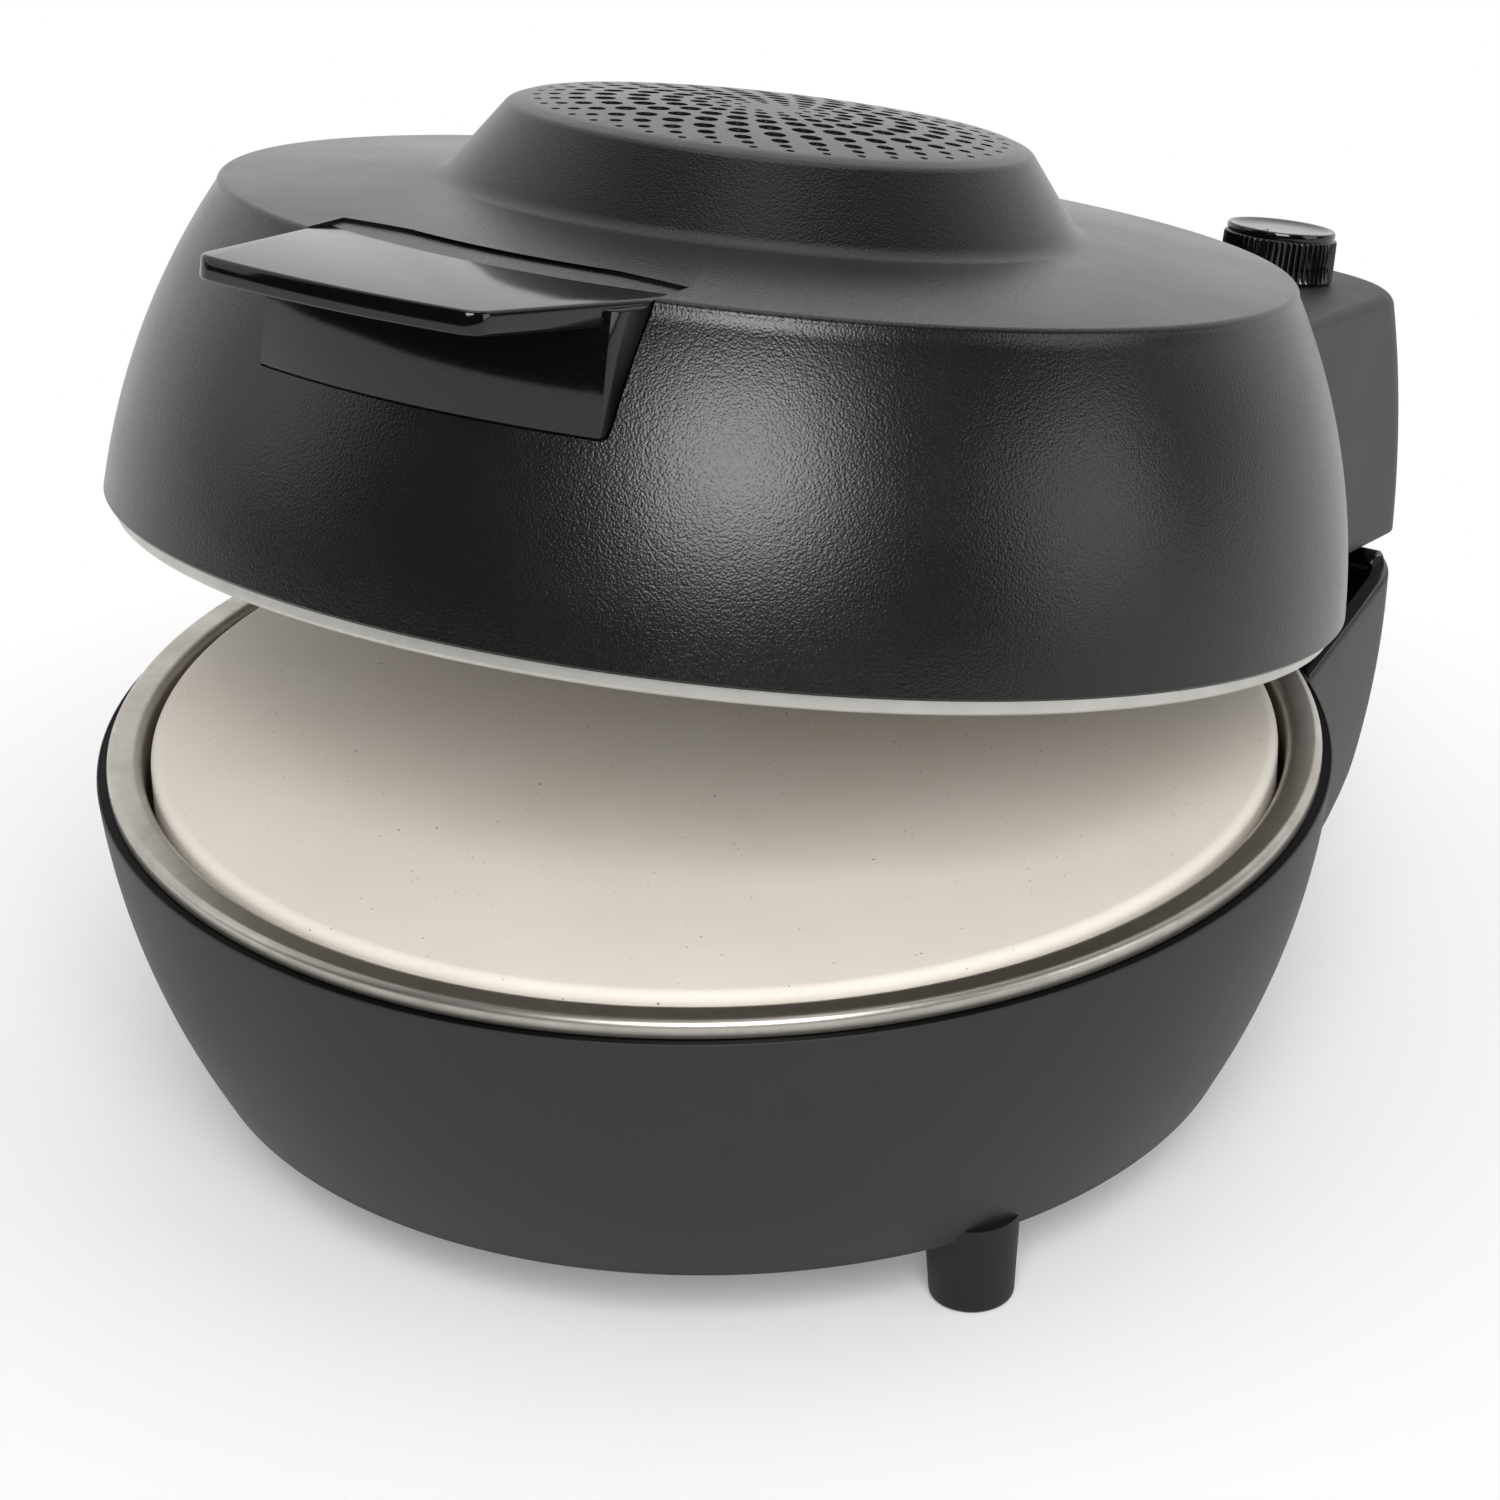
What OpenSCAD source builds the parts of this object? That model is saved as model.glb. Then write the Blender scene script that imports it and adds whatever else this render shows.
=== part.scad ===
// Electric pizza maker with a round stone, a hinged lid standing ajar and one control knob.
// The origin is the centre of the stone's cooking face. +Z is up and the handle is at -Y.

/* [Stone and tray] */
// Radius of the baking stone
stone_r = 155; // [120:1:180]
// Thickness of the baking stone
stone_thick = 14; // [10:0.5:18]
// Rounding of the stone's upper edge
stone_edge_r = 5; // [2:0.5:7]
// Height of the stone's cooking face above the rim of the base
stone_rise = 5.5; // [3:0.5:8]
// Gap between the stone and the wall of the tray
stone_gap = 3.4; // [2:0.2:6]
// Thickness of the pressed steel sheet
sheet = 0.8; // [0.5:0.1:1.2]
// Width of the tray's rolled flange
flange_w = 8.6; // [6:0.2:12]
// Height of the flange's crest above the rim of the base
flange_crest = 6.5; // [5:0.5:9]
// Height of the flange's inner edge above the rim of the base
flange_inner_z = 4.2; // [3:0.2:5]
// Rise of the flange's crown over the chord between its edges
flange_bulge = 1.7; // [1:0.1:2]
// Gap between the flange's rolled edge and the rim frame
flange_gap = 0.05; // [0.05:0.05:0.2]
// Depth of the tray's floor below the rim of the base
tray_depth = 25; // [22:1:34]
// Radius of the stone's supports
support_r = 5; // [3:0.5:8]
// Distance of the stone's supports from the stone's edge
support_inset = 14; // [10:1:30]

/* [Base] */
// Height of the rim above the table
base_height = 105; // [95:1:130]
// Depth of the bowl from its rim to its flat underside
bowl_depth = 83; // [82:1:90]
// Radius of the bowl at its lower corner
bowl_floor_r = 147.2; // [140:0.5:155]
// Bulge of the bowl's wall over its chord
bowl_bulge = 4.3; // [2:0.1:8]
// Rounding of the bowl's lower corner
bowl_corner_r = 2.4; // [1:0.2:5]
// Wall thickness of the base
base_wall = 3; // [2:0.2:4]
// Width of the black band that shows round the rim
rim_band_w = 3; // [2:0.2:5]
// Thickness of the black band on the shell's edge
rim_band_t = 0.5; // [0.4:0.1:1]
// Depth of the rim frame's inner leg
rim_leg = 14; // [8:1:20]
// Thickness of the rim frame's inner leg
rim_leg_t = 2.4; // [1.6:0.2:3]
// Gap between the rim frame and the base shell
rim_gap = 0.2; // [0.1:0.1:0.4]
// Radius of the opening in the bowl's floor
service_r = 110; // [90:1:118]
// Overlap of the bottom cover on the bowl's floor
cover_lap = 7; // [4:1:10]
// Thickness of the bottom cover
cover_t = 1.2; // [0.8:0.1:2]

/* [Feet] */
// Radius of the circle that the feet stand on
foot_ring_r = 138; // [130:1:142]
// Radius of a foot at the table
foot_bottom_r = 11.2; // [8:0.2:14]
// Radius of a foot at its top
foot_top_r = 13; // [9:0.2:15]
// Rounding of a foot's lower edge
foot_edge_r = 2; // [1:0.5:4]
// Height that a foot reaches up round the bowl's corner
foot_reach = 9.8; // [8:0.2:12]

/* [Rear fairing] */
// Half width of the fairing where its side line is at fairing_ref_y
fairing_half_w = 121.8; // [118:0.2:132]
// Place along Y where the half width is measured
fairing_ref_y = 172; // [160:1:180]
// Narrowing of the fairing towards the rear, per millimetre
fairing_taper = 0.125; // [0:0.005:0.15]
// Radius of the fairing's rear face about the stone's axis
fairing_rear_r = 232; // [222:1:240]
// Rounding of the fairing's rear corners
fairing_corner_r = 36; // [20:1:38]
// How far the fairing draws in towards the bottom
fairing_draw = 12.8; // [4:0.1:18]
// Bulge of the fairing's wall over its chord
fairing_bulge = 2.8; // [1:0.1:6]
// Half width of the gap that the fairing leaves open at the rear
well_half_w = 110.5; // [108.5:0.1:112]
// Height of the well's floor above the bowl's underside
well_rise = 13.5; // [11.5:0.5:15]
// Thickness of the well's liner
liner_t = 1.5; // [1:0.1:2]
// Drop of the liner's edge below the fairing's edge
liner_drop = 0.8; // [0.4:0.1:2]
// Gap between the liner and the walls that it lines
liner_gap = 0.05; // [0.05:0.05:0.3]

/* [Lid] */
// Angle that the lid stands open
lid_angle = 13.5; // [0:0.5:80]
// Height of the closed lid's edge above the rim
lid_edge_z = 11.2; // [11:0.1:16]
// Radius of the lid at its lower edge
lid_r = 168.6; // [166:0.2:175]
// Radius of the lid at its upper corner
lid_top_r = 144.6; // [138:0.2:150]
// Height of the lid's upper corner above its edge
lid_h = 85.8; // [82:0.2:95]
// Bulge of the lid's wall over its chord
lid_bulge = 5.04; // [2:0.1:8]
// Rounding of the lid's upper corner
lid_corner_r = 3; // [1:0.5:6]
// Wall thickness of the lid
lid_wall = 2.6; // [2:0.1:4]
// Rise of the lid's top from its corner to the cap
lid_crown = 5.7; // [3:0.1:9]
// Depth that the steel rim of the lid hangs below the lid's edge
lid_bead_drop = 4.4; // [3:0.1:4.4]
// Width of the steel rim of the lid
lid_bead_w = 5.6; // [4:0.2:8]
// Space between the lid's upper corner and the liner
liner_space = 4; // [3:0.5:8]
// Height of the lid liner's roof above the lid's edge
dome_h = 71; // [68:1:73]

/* [Vent cap] */
// Radius of the cap at its foot
cap_foot_r = 85.6; // [80:0.2:95]
// Radius of the cap at its upper edge
cap_top_r = 69.3; // [66:0.1:78]
// Height of the cap's upper edge above the lid's edge
cap_edge_h = 113; // [108:0.5:120]
// Rise of the cap's crowned top
cap_crown = 3.7; // [1:0.1:8]
// Wall thickness of the cap
cap_wall = 2.2; // [1.6:0.1:3]
// Gap round the cap's foot
cap_gap = 0.3; // [0.2:0.1:0.6]
// Number of rings of vent holes
vent_rings = 9; // [5:1:9]
// Number of holes in the outer ring
vent_outer_count = 42; // [40:2:46]
// Holes fewer in each ring further in
vent_step_count = 4; // [2:2:4]
// Radius of the outer ring of vent holes
vent_outer_r = 62.6; // [60:0.1:64]
// Radius of the inner ring of vent holes
vent_inner_r = 9.2; // [8:0.1:12]
// Radius of the smallest vent holes
vent_small = 1.15; // [0.9:0.05:1.2]
// Radius of the largest vent holes
vent_large = 3.15; // [2:0.05:3.2]
// How much closer the inner and the outer rings stand, as a share of the rings' whole width
vent_bunching = 0.055; // [0:0.005:0.08]
// Direction in which the rings of holes line up, from the front towards +X
vent_start = 43.5; // [0:0.5:90]

/* [Handle] */
// Half width of the handle's block
handle_half_w = 50.8; // [40:0.2:60]
// Half width of the handle's shelf at its front
shelf_half_w = 40; // [30:0.5:48]
// Height of the block's lower edge above the lid's edge
handle_low = 53.3; // [45:0.1:60]
// Distance of the block's front face from the lid's upper corner
handle_stand = 14.9; // [13.5:0.1:19]
// Reach of the shelf past the block's front face
shelf_reach = 38; // [26:0.5:50]
// Thickness of the shelf
shelf_t = 6.2; // [4:0.1:9]
// Rounding of the shelf's corners
shelf_corner_r = 7; // [3:0.5:10]

/* [Control housing] */
// Half width of the housing's lower edge where it meets the lid
house_low_w = 115; // [112:0.1:116]
// Half width of the housing's top where it meets the lid
house_high_w = 110; // [106:0.1:112]
// Place along Y where the housing's half widths are measured
house_ref_y = 126; // [120:1:130]
// Narrowing of the housing towards the rear, per millimetre
house_taper = 0.1; // [0.09:0.005:0.12]
// Rear radius of the housing's lower edge about the lid's axis
house_low_r = 257; // [250:0.5:258]
// Rear radius of the housing's top about the lid's axis
house_high_r = 244; // [238:0.5:248]
// Bulge of the housing's rear wall over its chord
house_bulge = 5.5; // [1:0.5:6]
// Rounding of the housing's rear corners
house_corner_r = 36; // [15:1:36]
// Depth of the housing's lower edge below the lid's edge
house_drop = 7.5; // [6:0.5:7.5]
// Height of the housing's top above the lid's edge
house_h = 66.5; // [62:0.5:72]
// Rounding of the housing's upper edge
house_edge_r = 3.5; // [2:0.5:7]
// Wall thickness of the housing
house_wall = 2.8; // [2:0.1:4]
// Height of the housing's floor above the lid's edge
house_floor_h = 15; // [13:0.5:20]
// Thickness of the housing's floor
house_floor_t = 2.5; // [2:0.1:4]

/* [Hinge] */
// Place of the hinge axis along Y
hinge_y = 195; // [193:0.5:198]
// Depth of the hinge axis below the rim
hinge_drop = 2.55; // [2:0.05:3.5]
// Radius of the hinge pins
pin_r = 3; // [2:0.1:4]
// Radius of the bore through the left pin for the lead
pin_bore_r = 1.9; // [1:0.1:2.2]
// Radius of the knuckles
knuckle_r = 9; // [7:0.5:10]
// Distance of the inner base knuckle from the middle
knuckle_x = 60; // [45:1:66]
// Width of a base knuckle
knuckle_w = 8; // [5:0.5:10]
// Width of the gap between two base knuckles
knuckle_gap = 12; // [9:0.5:16]
// Gap on each side of the lid's knuckle
side_gap = 0.3; // [0.2:0.1:0.6]
// Radial running clearance of a turning shaft or pin
running_fit = 0.05; // [0.02:0.01:0.1]
// Thickness of the flanges of the lid's knuckles
flange_t = 3; // [2:0.5:4]
// Half width of the hinge block
block_half_w = 96; // [90:1:98]
// Height of the hinge block
block_h = 12; // [8:1:14]
// Depth of the hinge block's top below the hinge axis
block_drop = 12; // [10.5:0.5:13]
// Reach of the hinge block behind the hinge axis
block_reach = 10; // [8:1:11]

/* [Knob and thermostat] */
// Place of the knob across the housing
knob_x = 66.6; // [55:0.2:70]
// Place of the knob along Y when the lid is closed
knob_y = 195.6; // [190:0.2:200]
// Radius of the knob's ribbed skirt
knob_r = 17; // [14:0.5:19]
// Height of the knob's ribbed skirt
knob_skirt_h = 12.6; // [9:0.2:16]
// Radius of the knob's smooth top
knob_top_r = 16.2; // [12:0.2:18]
// Height of the knob's smooth top
knob_top_h = 2.4; // [1.5:0.1:4]
// Number of ribs on the knob
knob_ribs = 58; // [30:2:72]
// Depth of the ribs on the knob
rib_depth = 0.6; // [0.3:0.1:1]
// Gap between the knob and the housing
knob_gap = 0.5; // [0.4:0.1:1.5]
// Radius of the control shaft
shaft_r = 3; // [2:0.1:4]
// Depth that the shaft reaches into the knob
shaft_in_knob = 10; // [6:0.5:11]
// Depth that the shaft reaches into the thermostat
shaft_in_switch = 16; // [8:1:18]
// Width of the thermostat's body
switch_w = 34; // [26:1:38]
// Height of the thermostat's body
switch_h = 22; // [18:1:26]
// Radius of the thermostat's threaded bush
bush_r = 5; // [4.5:0.5:7]
// Height of the thermostat's threaded bush
bush_h = 6; // [4:0.5:8]

/* [Heating] */
// Radius of a heating element's tube
tube_r = 3.25; // [2.5:0.05:4]
// Radius of the lower heating element
lower_ring_r = 108; // [90:1:125]
// Radius of the upper heating element
upper_ring_r = 104; // [90:1:115]
// Drop of the upper heating element below the liner's roof
upper_drop = 12; // [9:0.5:16]
// Half of the angle left open at the rear of a heating element
ring_gap = 12; // [8:1:20]
// Gap between a heating element and its holders
holder_gap = 0.1; // [0.05:0.05:0.3]
// Length of a holder across the tube
holder_l = 14; // [10:1:20]
// Width of a holder along the tube
holder_w = 6; // [4:1:10]
// Depth of the lower element's legs below the tray's floor
leg_depth = 11; // [8:1:14]
// Height of the ceramic terminal block under the tray
terminal_h = 14; // [12:1:20]
// Radius of a lead
lead_r = 1.5; // [1:0.1:1.8]
// Radius of the insulating pad
pad_r = 94; // [70:1:96]
// Thickness of the insulating pad
pad_t = 8; // [4:1:10]

/* [Screws] */
// Radius of a screw's shank
screw_r = 2; // [1.5:0.1:2.5]
// Radius of a screw's head
screw_head_r = 4; // [3:0.5:5]
// Height of a screw's head
screw_head_h = 2; // [1.5:0.5:3]

/* [Cord gland] */
// Radius of the gland's bore
gland_bore_r = 3.6; // [3:0.1:4]
// Radius of the gland's barrel
gland_r = 4.6; // [4.4:0.1:4.8]
// Radius of the gland's collar
gland_collar_r = 5.6; // [5.4:0.1:5.8]
// Gap round the gland in the shell's wall
gland_gap = 0.05; // [0.05:0.01:0.1]
// Turn of the gland round the base, from the middle of the rear towards the left
gland_turn = 10; // [4:1:16]

/* [Hidden] */

// Smoothness of large turned shapes, of small round parts and of arcs inside an outline
fine = 180;
round_n = 48;
arc_steps = 14;
// A lead is drawn as a bar with this many flat sides
lead_sides = 10;
// Reach of a cutting solid past the surface that it cuts
past = 1;
// Thickness of the slices that a drawn-in body is stretched over
slice = 0.01;

// Levels of the base, measured from its rim
rim_z = -stone_rise;
table_z = -base_height;
tray_r = stone_r + stone_gap;
tray_outer_r = tray_r + flange_w;
base_r = tray_outer_r + rim_band_w;
tray_floor_z = -tray_depth + sheet;
stone_low_z = stone_rise - stone_thick;
floor_top_z = -bowl_depth + base_wall;
cover_r = service_r + cover_lap;
well_depth = bowl_depth - well_rise;
well_floor_z = -well_depth;
hinge_z = -hinge_drop;
block_top_z = hinge_z - block_drop;
leg_r = tube_r + 0.4;
lower_ring_z = (tray_floor_z + stone_low_z) / 2;
terminal_y = lower_ring_r * cos(ring_gap);
terminal_x = lower_ring_r * sin(ring_gap);
gland_z = -bowl_depth + gland_collar_r + 4 * gland_gap;

// Levels of the lid, measured from its own lower edge
cap_foot_h = lid_h + lid_crown;
lid_hinge_s = hinge_z - lid_edge_z;
bead_outer_r = lid_r - lid_wall - 0.4;
bead_inner_r = bead_outer_r - lid_bead_w;
upper_ring_s = dome_h - upper_drop;
pad_low_s = dome_h + sheet;
upper_leg_s = dome_h + pad_t;
handle_face_r = lid_top_r + handle_stand;
shelf_r = handle_face_r + shelf_reach;
liner_top_r = lid_top_r - lid_wall - liner_space;
house_under_s = house_h - house_wall;
floor_upper_s = house_floor_h + house_floor_t;
knob_low_s = house_h + knob_gap;
switch_top_s = house_under_s - bush_h;
pin_inner_x = knuckle_x - 2;
pin_outer_x = knuckle_x + 2 * knuckle_w + knuckle_gap + 2;

// Points on the arc from a to b that bulges away from the axis by sag over its chord
function arc_between(a, b, sag, steps) =
    let (chord = norm(b - a))
    let (along = (b - a) / chord)
    let (out = along[1] > 0 ? [along[1], -along[0]] : [-along[1], along[0]])
    let (radius = (chord * chord / 4 + sag * sag) / (2 * sag))
    let (centre = (a + b) / 2 - out * (radius - sag))
    let (half = asin(chord / 2 / radius))
    [for (i = [0 : steps]) centre + radius * turned(out, along, -half + 2 * half * i / steps)];
function turned(out, along, angle) = out * cos(angle) + along * sin(angle);

// Points on a circle's arc between two angles
function arc_points(centre, r, from, to, steps) =
    [for (i = [0 : steps]) centre + r * across(from + (to - from) * i / steps)];
function across(angle) = [cos(angle), sin(angle)];

// Outline of a sheet of thickness t that lies to the left of a path
function normal_of(a, b) = [a[1] - b[1], b[0] - a[0]] / norm(b - a);
function joined(n, m) = (n + m) * 2 / ((n + m) * (n + m));
function normal_at(path, i) =
    i == 0 ? normal_of(path[0], path[1])
    : i == len(path) - 1 ? normal_of(path[i - 1], path[i])
    : joined(normal_of(path[i - 1], path[i]), normal_of(path[i], path[i + 1]));
function beside(path, t) = [for (i = [0 : len(path) - 1]) path[i] + t * normal_at(path, i)];
function reversed(path) = [for (i = [len(path) - 1 : -1 : 0]) path[i]];
function sheet_outline(path, t) = concat(path, reversed(beside(path, t)));

// The drawing frames: the base hangs from its rim, and the lid turns about the hinge
module on_base() {
    translate([0, 0, rim_z]) children();
}
module on_lid() {
    on_base()
        translate([0, hinge_y, hinge_z])
        rotate([-lid_angle, 0, 0])
        translate([0, -hinge_y, -lid_hinge_s])
        children();
}
module turned_solid(points) {
    rotate_extrude($fn = fine) polygon(points);
}
module both_sides() {
    children();
    mirror([1, 0, 0]) children();
}

// A round bar between two points, and a run of bars that cross at each bend
module bar(a, b, r, sides) {
    run = b - a;
    length = norm(run);
    translate(a)
        rotate([0, acos(run[2] / length), atan2(run[1], run[0])])
        cylinder(r = r, h = length, $fn = sides);
}
module lead(points, r) {
    for (i = [0 : len(points) - 2]) {
        run = (points[i + 1] - points[i]) / norm(points[i + 1] - points[i]);
        from = points[i] - (i == 0 ? 0 : r / 2) * run;
        to = points[i + 1] + (i == len(points) - 2 ? 0 : r / 2) * run;
        bar(from, to, r, lead_sides);
    }
}
module screw(length) {
    cylinder(r = screw_r, h = length, $fn = round_n);
    translate([0, 0, -screw_head_h]) cylinder(r = screw_head_r, h = screw_head_h, $fn = round_n);
}

// Bowl of the base: its outer wall as a path from the rim to the underside
bowl_corner = [bowl_floor_r - bowl_corner_r, -bowl_depth + bowl_corner_r];
bowl_wall = arc_between([base_r, 0], bowl_corner + bowl_corner_r * across(-15), bowl_bulge, arc_steps);
bowl_path = concat(bowl_wall, arc_points(bowl_corner, bowl_corner_r, -35, -90, 4));

module bowl_solid() {
    turned_solid(concat([[0, 0]], bowl_path, [[0, -bowl_depth]]));
}
module bowl_hollow() {
    inner = beside(bowl_path, -base_wall);
    turned_solid(concat([[0, past], [base_r - base_wall, past]], inner, [[0, floor_top_z]]));
}

// Rear fairing, drawn in towards the bottom like the bowl
fairing_side = arc_between([0, 0], [-fairing_draw, -bowl_depth], fairing_bulge, 6);
module fairing_outline(inset) {
    front_y = foot_ring_r / 2;
    rear_y = fairing_rear_r + past;
    front_x = fairing_half_w + (fairing_ref_y - front_y) * fairing_taper;
    rear_x = fairing_half_w + (fairing_ref_y - rear_y) * fairing_taper;
    offset(delta = -inset)
        offset(r = fairing_corner_r, $fn = round_n)
        offset(delta = -fairing_corner_r)
        intersection() {
            circle(r = fairing_rear_r, $fn = fine / 2);
            polygon([[-front_x, front_y], [front_x, front_y], [rear_x, rear_y], [-rear_x, rear_y]]);
        }
}
module fairing_solid(inset, top_z) {
    hull()
        for (i = [0 : len(fairing_side) - 1]) {
            translate([0, 0, i == 0 ? top_z : fairing_side[i][1]])
                linear_extrude(slice)
                fairing_outline(inset - fairing_side[i][0]);
        }
}
module fairing_inside(inset, low_z) {
    intersection() {
        fairing_solid(inset, past);
        translate([-base_r, 0, low_z]) cube([2 * base_r, fairing_rear_r + past, bowl_depth + 2 * past]);
    }
}
module well_mouth(low_z) {
    translate([-well_half_w, base_r, low_z]) cube([2 * well_half_w, base_r, well_depth + past + stone_rise]);
}

module base_shell() {
    color([0.24, 0.245, 0.235])
        on_base()
        difference() {
            union() {
                bowl_solid();
                fairing_solid(0, 0);
            }
            bowl_hollow();
            difference() {
                fairing_inside(base_wall, floor_top_z);
                bowl_solid();
            }
            // The pocket is open upwards, and its rear is open down to the well's floor
            well_mouth(well_floor_z);
            // Step that the rim frame lies on
            translate([0, 0, -rim_band_t]) cylinder(r = base_r + rim_gap, h = rim_band_t + past, $fn = fine);
            // Service opening, passage for the leads and seat of the cord gland
            translate([0, 0, -bowl_depth - past]) cylinder(r = service_r, h = 2 * base_wall, $fn = fine);
            rotate([0, 0, gland_turn])
                translate([0, bowl_floor_r - 2 * base_wall, lead_z])
                rotate([-90, 0, 0])
                cylinder(r = 1.8 * lead_r, h = 4 * base_wall, $fn = round_n);
            at_gland() cylinder(r = gland_r, h = 6 * base_wall, center = true, $fn = round_n);
            bottom_screw_places(-bowl_depth - past) cylinder(r = screw_r, h = 2 * base_wall, $fn = round_n);
        }
}

function bowl_r(z) = lookup(z, [for (point = bowl_wall) [point[1], point[0]]]);
module rim_frame() {
    upper_r = base_r - base_wall - rim_gap;
    lower_r = bowl_r(-rim_leg) - 1.1 * base_wall - rim_gap;
    inner_r = lower_r - rim_leg_t;
    edge_r = base_r - rim_gap / 2;
    color([0.05, 0.05, 0.05])
        on_base()
        turned_solid([
            [inner_r, 0], [inner_r, -rim_leg], [lower_r, -rim_leg], [upper_r, -rim_band_t],
            [edge_r, -rim_band_t], [edge_r, 0]
        ]);
}

module hinge_well_liner() {
    color([0.04, 0.04, 0.04])
        on_base()
        difference() {
            intersection() {
                fairing_inside(base_wall + liner_gap, well_floor_z - liner_t);
                translate([-base_r, 0, -bowl_depth])
                    cube([2 * base_r, fairing_rear_r, bowl_depth - liner_drop]);
            }
            fairing_inside(base_wall + liner_gap + liner_t, well_floor_z);
            bowl_with_gap();
            well_mouth(well_floor_z);
        }
}
// The bowl's outside with a gap, for pieces that stand behind it
module bowl_with_gap() {
    spare = 6 * liner_gap;
    turned_solid(concat([[0, past], [base_r + spare, past]], beside(bowl_path, spare), [[0, -bowl_depth]]));
}

module hinge_block() {
    block_rear_y = hinge_y + block_reach;
    color([0.06, 0.06, 0.06])
        on_base()
        difference() {
            union() {
                translate([-block_half_w, base_r / 2, block_top_z - block_h])
                    cube([2 * block_half_w, block_rear_y - base_r / 2, block_h]);
                both_sides()
                    for (x = [knuckle_x, knuckle_x + knuckle_w + knuckle_gap]) {
                        translate([x, hinge_y, hinge_z])
                            rotate([0, 90, 0])
                            cylinder(r = knuckle_r, h = knuckle_w, $fn = round_n);
                        translate([x, hinge_y - knuckle_r, block_top_z - past])
                            cube([knuckle_w, 2 * knuckle_r, block_drop + past]);
                    }
            }
            bowl_solid();
            translate([-base_r, hinge_y, hinge_z])
                rotate([0, 90, 0])
                cylinder(r = pin_r, h = 2 * base_r, $fn = round_n);
        }
}

// Hinge pins along X through the base's knuckles, the left one hollow for the lead
module pin(bore_r) {
    head_r = pin_r + 1.5;
    translate([pin_inner_x, hinge_y, hinge_z])
        rotate([0, 90, 0])
        difference() {
            union() {
                cylinder(r = pin_r, h = pin_outer_x - pin_inner_x, $fn = round_n);
                cylinder(r = head_r, h = 2, $fn = round_n);
            }
            if (bore_r > 0) {
                translate([0, 0, -past])
                    cylinder(r = bore_r, h = pin_outer_x - pin_inner_x + 2 * past, $fn = round_n);
            }
        }
}
module hinge_pin_right() {
    color([0.7, 0.7, 0.7]) on_base() pin(0);
}
module hinge_pin_left() {
    color([0.7, 0.7, 0.7]) on_base() mirror([1, 0, 0]) pin(pin_bore_r);
}

module bottom_cover() {
    color([0.45, 0.45, 0.45])
        on_base()
        difference() {
            translate([0, 0, -bowl_depth - cover_t]) cylinder(r = cover_r, h = cover_t, $fn = fine);
            bottom_screw_places(-bowl_depth - cover_t - past)
                cylinder(r = screw_r, h = cover_t + 2 * past, $fn = round_n);
        }
}
module bottom_screw_places(z) {
    for (turn = [45 : 90 : 315]) {
        rotate([0, 0, turn]) translate([service_r + cover_lap / 2, 0, z]) children();
    }
}
module bottom_screws() {
    color([0.6, 0.6, 0.6]) on_base() bottom_screw_places(-bowl_depth - cover_t) screw(base_wall);
}

// A foot tapers to the table with a rounded edge, and the bowl cuts its top
module foot(turn) {
    top_z = -bowl_depth + foot_reach;
    edge = arc_points([foot_bottom_r - foot_edge_r, table_z + foot_edge_r], foot_edge_r, -90, 0, 5);
    color([0.05, 0.05, 0.05])
        on_base()
        difference() {
            rotate([0, 0, turn])
                translate([0, -foot_ring_r, 0])
                rotate_extrude($fn = round_n)
                polygon(concat([[0, table_z]], edge, [[foot_top_r, top_z], [0, top_z]]));
            bowl_solid();
            // The rear foot stands under the flat floor of the fairing
            translate([-base_r, 0, -bowl_depth]) cube([2 * base_r, base_r, bowl_depth]);
        }
}
module foot_front_right() {
    foot(60);
}
module foot_front_left() {
    foot(-60);
}
module foot_rear() {
    foot(180);
}

// Pressed tray: a rolled flange outside, a straight wall and a flat floor
module steel_tray() {
    bead_r = flange_crest / 2 - sheet;
    bend = 1.5;
    crown_end = [tray_outer_r - bead_r / 2, flange_crest - bead_r / 2];
    crown = arc_between([tray_r, flange_inner_z], crown_end, -flange_bulge, 6);
    edge = [[tray_outer_r, flange_crest - bead_r], [tray_outer_r, flange_gap]];
    floor_edge = [[0, tray_floor_z], [tray_r - 2 * bend, tray_floor_z], [tray_r - bend, tray_floor_z + bend]];
    path = concat(floor_edge, crown, edge);
    color([0.72, 0.71, 0.69])
        on_base()
        difference() {
            turned_solid(sheet_outline(path, -sheet));
            for (side = [-1, 1]) {
                translate([side * terminal_x, terminal_y, -tray_depth - past])
                    cylinder(r = leg_r + sheet / 2, h = 3 * past, $fn = round_n);
            }
        }
}

module pizza_stone() {
    chamfer = 2;
    foot = [[0, stone_low_z], [stone_r - chamfer, stone_low_z], [stone_r, stone_low_z + chamfer]];
    edge = arc_points([stone_r - stone_edge_r, stone_rise - stone_edge_r], stone_edge_r, 0, 90, 8);
    color([0.89, 0.86, 0.82])
        on_base()
        turned_solid(concat(foot, edge, [[0, stone_rise]]));
}

module stone_supports() {
    color([0.6, 0.6, 0.6])
        on_base()
        for (turn = [45 : 90 : 315]) {
            rotate([0, 0, turn])
                translate([stone_r - support_inset, 0, tray_floor_z])
                cylinder(r = support_r, h = stone_low_z - tray_floor_z, $fn = round_n);
        }
}

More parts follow.
